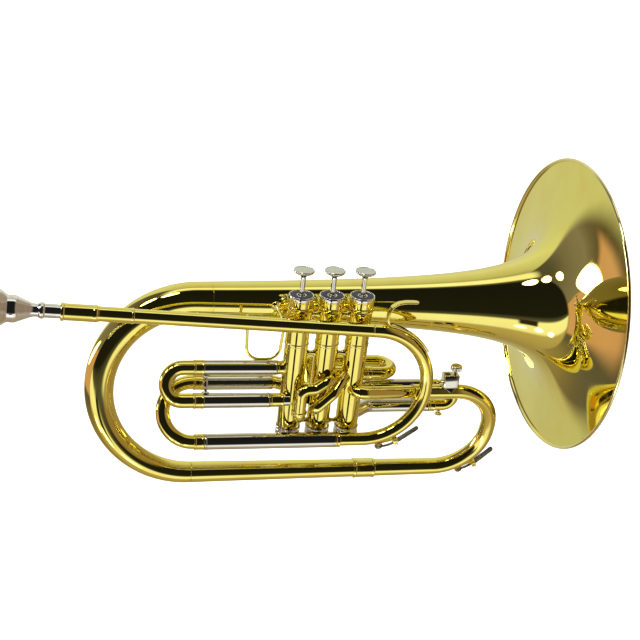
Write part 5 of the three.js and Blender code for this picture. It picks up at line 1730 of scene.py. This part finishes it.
@dataclass(frozen=True)
class Room:
    """The room that the metal mirrors, worked out from the direction alone.

    Args:
        bands: brightness round the X axis in degrees; 0 is the camera's side, 90 overhead, 180 the
            backdrop and -90 straight down.
        wall: brightness of the wall behind the player by height, -1 the floor and 1 the ceiling.
        wall_heading: the compass angle of that wall, from the camera's side towards the bell, in degrees.
        wall_width: half the angle that it takes up, in degrees.
        glow_heading: the compass angle of the warm wood on that wall, in degrees.
        glow_width: half the angle that it takes up, in degrees.
        lamps: the lamps overhead and beside the player.
    """

    bands: tuple[Stop, ...] = (
        Stop(-180, 0.66, LEMON), Stop(-150, 0.60, LEMON), Stop(-100, 0.36, WARM), Stop(-84, 0.42, WARM),
        Stop(-56, 0.52, WARM), Stop(-50, 1.00), Stop(-24, 1.05), Stop(-19, 0.10), Stop(-8, 0.014),
        Stop(82, 0.010), Stop(88, 0.12), Stop(91, 1.10), Stop(103, 1.10), Stop(107, 0.42, LEMON),
        Stop(116, 0.60, LEMON), Stop(150, 0.78, LEMON), Stop(180, 0.66, LEMON),
    )
    wall: tuple[Stop, ...] = (
        Stop(-1.0, 0.34, WARM), Stop(-0.72, 0.26, WARM), Stop(-0.5, 0.13, MAUVE), Stop(-0.2, 0.10, WARM),
        Stop(0.0, 0.26, MAUVE), Stop(0.45, 0.20, MAUVE), Stop(0.8, 0.10, MAUVE), Stop(1.0, 0.08),
    )
    wall_heading: float = -109.5
    wall_width: float = 34.5
    glow_heading: float = -108.0
    glow_width: float = 32.0
    lamps: tuple[Lamp, ...] = (
        Lamp((-0.88, 0.43, -0.03), 19.0, 7.0, (0.37, 0.71, -0.6), 5.6),
        Lamp((-0.27, -0.20, 0.94), 7.0, 6.0),
        Lamp((-0.54, -0.11, 0.84), 7.0, 6.0),
        Lamp((-0.79, 0.05, 0.62), 7.0, 6.0),
        Lamp((-0.13, -0.76, -0.64), 4.0, 5.0),
        Lamp((-0.39, -0.69, -0.61), 5.0, 5.0),
        Lamp((-0.61, -0.51, -0.60), 5.0, 5.0),
    )

    @staticmethod
    def ramp(wires: Wiring, value: bpy.types.NodeSocket, stops: Sequence[Stop], low: float,
             high: float) -> bpy.types.NodeSocket:
        """A colour ramp over a value that runs from low to high.

        Args:
            wires: the tree's wiring.
            value: the value.
            stops: the colours in rising order, the first at low and the last at high.
            low: the ramp's start.
            high: the ramp's end.

        Returns:
            The ramp's colour.
        """
        share = wires.add("ShaderNodeMapRange", {"clamp": True}, {
            "Value": value, "From Min": low, "From Max": high}).outputs["Result"]
        node = wires.add("ShaderNodeValToRGB", None, {0: share})
        elements = node.color_ramp.elements
        for stop in stops[1:-1]:
            elements.new((stop.at - low) / (high - low))
        for element, stop in zip(elements, stops):
            element.color = (*(stop.light * c for c in stop.tint), 1)
        return node.outputs[0]

    @staticmethod
    def along(wires: Wiring, way: bpy.types.NodeSocket, target: Point, inner: float,
              outer: float) -> bpy.types.NodeSocket:
        """A mask that is 1 within an angle of a direction and 0 past another, both in degrees."""
        dot = wires.add("ShaderNodeVectorMath", {"operation": "DOT_PRODUCT"}, {
            0: way, 1: tuple(float(c) for c in unit(np.asarray(target, float)))}).outputs["Value"]
        return wires.ramp(dot, math.cos(math.radians(outer)), math.cos(math.radians(inner)))

    def colour(self, wires: Wiring) -> bpy.types.NodeSocket:
        """The room's colour in a direction.

        Formula: the bands are read at the angle atan2(z, -y). The wall behind the player covers them
        where the level direction lies within its angle, read by height. Warm wood lies low on that
        wall, a dark doorway stands behind the camera, shade lies on the bell's side, and lamps are added.
        """
        way = wires.add("ShaderNodeTexCoord").outputs["Generated"]
        parts = wires.add("ShaderNodeSeparateXYZ", None, {0: way})
        x, y, z = (parts.outputs[k] for k in range(3))
        angle = wires.math("ARCTAN2", z, wires.math("MULTIPLY", y, -1.0))
        colour = self.ramp(wires, wires.math("DEGREES", angle), self.bands, -180, 180)
        flat = wires.add("ShaderNodeCombineXYZ", None, {0: x, 1: y, 2: 0.0}).outputs[0]
        compass = wires.add("ShaderNodeVectorMath", {"operation": "NORMALIZE"}, {0: flat}).outputs[0]
        shade = wires.ramp(x, 0.40, 0.62, 0.0, 0.9)
        colour = wires.mix(shade, colour, (0.34, 0.25, 0.17, 1))
        doorway = self.along(wires, compass, self.heading(-17.0), 7.0, 10.0)
        low = wires.math("MULTIPLY", wires.ramp(z, -0.54, -0.48), wires.ramp(z, -0.34, -0.28, 1.0, 0.0))
        colour = wires.mix(wires.math("MULTIPLY", doorway, low), colour, (0.03, 0.022, 0.02, 1))
        wall = self.along(wires, compass, self.heading(self.wall_heading), self.wall_width - 3,
                          self.wall_width + 3)
        off_pole = wires.ramp(wires.math("ABSOLUTE", z), 0.97, 0.9)
        colour = wires.mix(wires.math("MULTIPLY", wall, off_pole), colour,
                           self.ramp(wires, z, self.wall, -1, 1))
        glow = self.along(wires, compass, self.heading(self.glow_heading), self.glow_width - 2,
                          self.glow_width + 2)
        depth = wires.add("ShaderNodeSeparateXYZ", None, {0: compass}).outputs[1]
        over = wires.math("SUBTRACT", z, wires.ramp(depth, -0.05, 0.75, 0.09, -0.19))
        band = wires.math("MULTIPLY", wires.ramp(z, -0.44, -0.38), wires.ramp(over, 0.0, 0.04, 1.0, 0.0))
        colour = wires.mix(wires.math("MULTIPLY", glow, band), colour, (0.66, 0.38, 0.34, 1))
        for lamp in self.lamps:
            colour = wires.mix(lamp.mask(wires, way), colour, (lamp.power, lamp.power, lamp.power * 0.96, 1))
        return colour

    @staticmethod
    def heading(degrees: float) -> list[float]:
        """The level direction at a compass angle from the camera's side towards the bell."""
        return [math.sin(math.radians(degrees)), -math.cos(math.radians(degrees)), 0.0]


@dataclass
class Studio:
    """The floor, the lights, the surroundings and the camera.

    Args:
        floor_z: the floor's height, in metres.
        reach: the floor's half size, in metres.
        cells: how many cells the floor has each way.
        sun: the strength of the even light.
        turn: the camera's turn to the right, in degrees.
        drop: how far it looks down, in degrees.
        roll: how far it is rolled, in degrees.
        target: the point it looks at, in metres.
        distance: how far away it is, in metres.
        lens: its focal length on a 36 mm sensor, in millimetres.
        room: what the metal mirrors.
    """

    floor_z: float = -0.62
    reach: float = 14.0
    cells: int = 12
    sun: float = 4.6
    turn: float = 14.61
    drop: float = 24.56
    roll: float = -6.58
    target: tuple[float, float, float] = (-0.00858, 0.0, 0.04124)
    distance: float = 0.968
    lens: float = 61.54
    room: Room = field(default_factory=Room)

    def floor(self) -> None:
        """Lays a plain pale floor as a grid, very slightly mottled."""
        posts = self.cells + 1
        across = np.linspace(-self.reach, self.reach, posts)
        x, y = np.meshgrid(across, across, indexing="ij")
        points = np.stack([x, y, np.full_like(x, self.floor_z)], axis=-1).reshape(-1, 3)
        i, j = np.meshgrid(np.arange(self.cells), np.arange(self.cells), indexing="ij")
        low = (i * posts + j).ravel()
        quads = np.stack([low, low + posts, low + posts + 1, low + 1], axis=-1)
        mesh = bpy.data.meshes.new("floor")
        mesh.from_pydata(points.tolist(), [], quads.tolist())
        obj = bpy.data.objects.new("floor", mesh)
        bpy.context.scene.collection.objects.link(obj)
        obj.visible_glossy = False
        made = bpy.data.materials.new("pale_paper")
        made.use_nodes = True
        wires = Wiring(made.node_tree)
        shader = made.node_tree.nodes["Principled BSDF"]
        place = wires.add("ShaderNodeTexCoord").outputs["Object"]
        cloud = wires.ramp(wires.noise(place, 2.0, 3.0), 0.3, 0.7)
        wires.tree.links.new(wires.mix(cloud, (0.92, 0.92, 0.92, 1), (0.94, 0.94, 0.94, 1)),
                             shader.inputs["Base Color"])
        shader.inputs["Roughness"].default_value = 0.9
        shader.inputs["Specular IOR Level"].default_value = 0.1
        mesh.materials.append(made)

    def surroundings(self) -> None:
        """Sets the room round the horn; straight ahead the camera sees plain white."""
        world = bpy.data.worlds.new("studio")
        world.use_nodes = True
        bpy.context.scene.world = world
        wires = Wiring(world.node_tree)
        world.node_tree.nodes.clear()
        room = wires.add("ShaderNodeBackground", None, {"Color": self.room.colour(wires), "Strength": 1.0})
        plain = wires.add("ShaderNodeBackground", None, {"Color": (1, 1, 1, 1), "Strength": 1.0})
        seen = wires.add("ShaderNodeLightPath").outputs["Is Camera Ray"]
        both = wires.add("ShaderNodeMixShader", None, {0: seen, 1: room.outputs[0], 2: plain.outputs[0]})
        wires.add("ShaderNodeOutputWorld", None, {0: both.outputs[0]})

    def lights(self) -> None:
        """Hangs one broad, even light for the floor and the matt pieces."""
        even = bpy.data.lights.new("even_light", "SUN")
        even.energy = self.sun
        even.angle = math.radians(120)
        obj = bpy.data.objects.new("even_light", even)
        obj.rotation_euler = (math.radians(-12), math.radians(6), 0)
        obj.visible_glossy = False
        bpy.context.scene.collection.objects.link(obj)

    def camera(self) -> None:
        """Sets the camera from its turn, drop, roll, target and distance."""
        yaw, pitch, roll = (math.radians(a) for a in (self.turn, self.drop, self.roll))
        ahead = np.array([math.sin(yaw) * math.cos(pitch), math.cos(yaw) * math.cos(pitch), -math.sin(pitch)])
        level_right = np.array([math.cos(yaw), -math.sin(yaw), 0.0])
        below = np.cross(ahead, level_right)
        right = math.cos(roll) * level_right + math.sin(roll) * below
        down = -math.sin(roll) * level_right + math.cos(roll) * below
        spot = np.array(self.target) - self.distance * ahead
        lens = bpy.data.cameras.new("camera")
        lens.sensor_width = 36.0
        lens.sensor_fit = "HORIZONTAL"
        lens.lens = self.lens
        lens.clip_start, lens.clip_end = 0.01, 60.0
        obj = bpy.data.objects.new("camera", lens)
        turn = np.stack([right, -down, -ahead], axis=1)
        pose = np.eye(4)
        pose[:3, :3], pose[:3, 3] = turn, spot
        obj.matrix_world = Matrix(pose.tolist())
        bpy.context.scene.collection.objects.link(obj)
        bpy.context.scene.camera = obj

    def build(self) -> None:
        """Builds the whole studio."""
        self.floor()
        self.surroundings()
        self.lights()
        self.camera()
        bpy.context.scene.view_settings.view_transform = "Standard"


# ------------------------------------------------------------------ the whole horn


def main() -> None:
    """Builds the horn's sub-assemblies in order, then the studio."""
    logging.basicConfig(level=logging.INFO, format="%(name)s: %(message)s")
    shop = Workshop()
    bell = Bell()
    bell.build(shop)
    Bows().build(shop, float(bell.radius(np.array(bell.mouth_x - bell.tail_x))))
    Leadpipe().build(shop)
    TuningSlide().build(shop)
    FirstSlide().build(shop)
    SecondSlide().build(shop)
    ThirdSlide().build(shop)
    ValveBlock().build(shop)
    fittings = Fittings()
    fittings.build(shop, float(bell.radius(np.array(bell.mouth_x - fittings.post[0]))))
    WaterKey(1, (92.3, -20.0, -70.0), 54.5, 16.0, 0.0, 6.0).build(shop)
    WaterKey(2, (173.5, 20.0, -127.5), 47.0, 30.0, 11.3, 8.2).build(shop)
    Studio().build()
    bpy.context.view_layer.update()
    log.info("the horn has %d triangles", shop.triangles)
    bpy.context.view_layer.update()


if __name__ == "__main__":
    main()
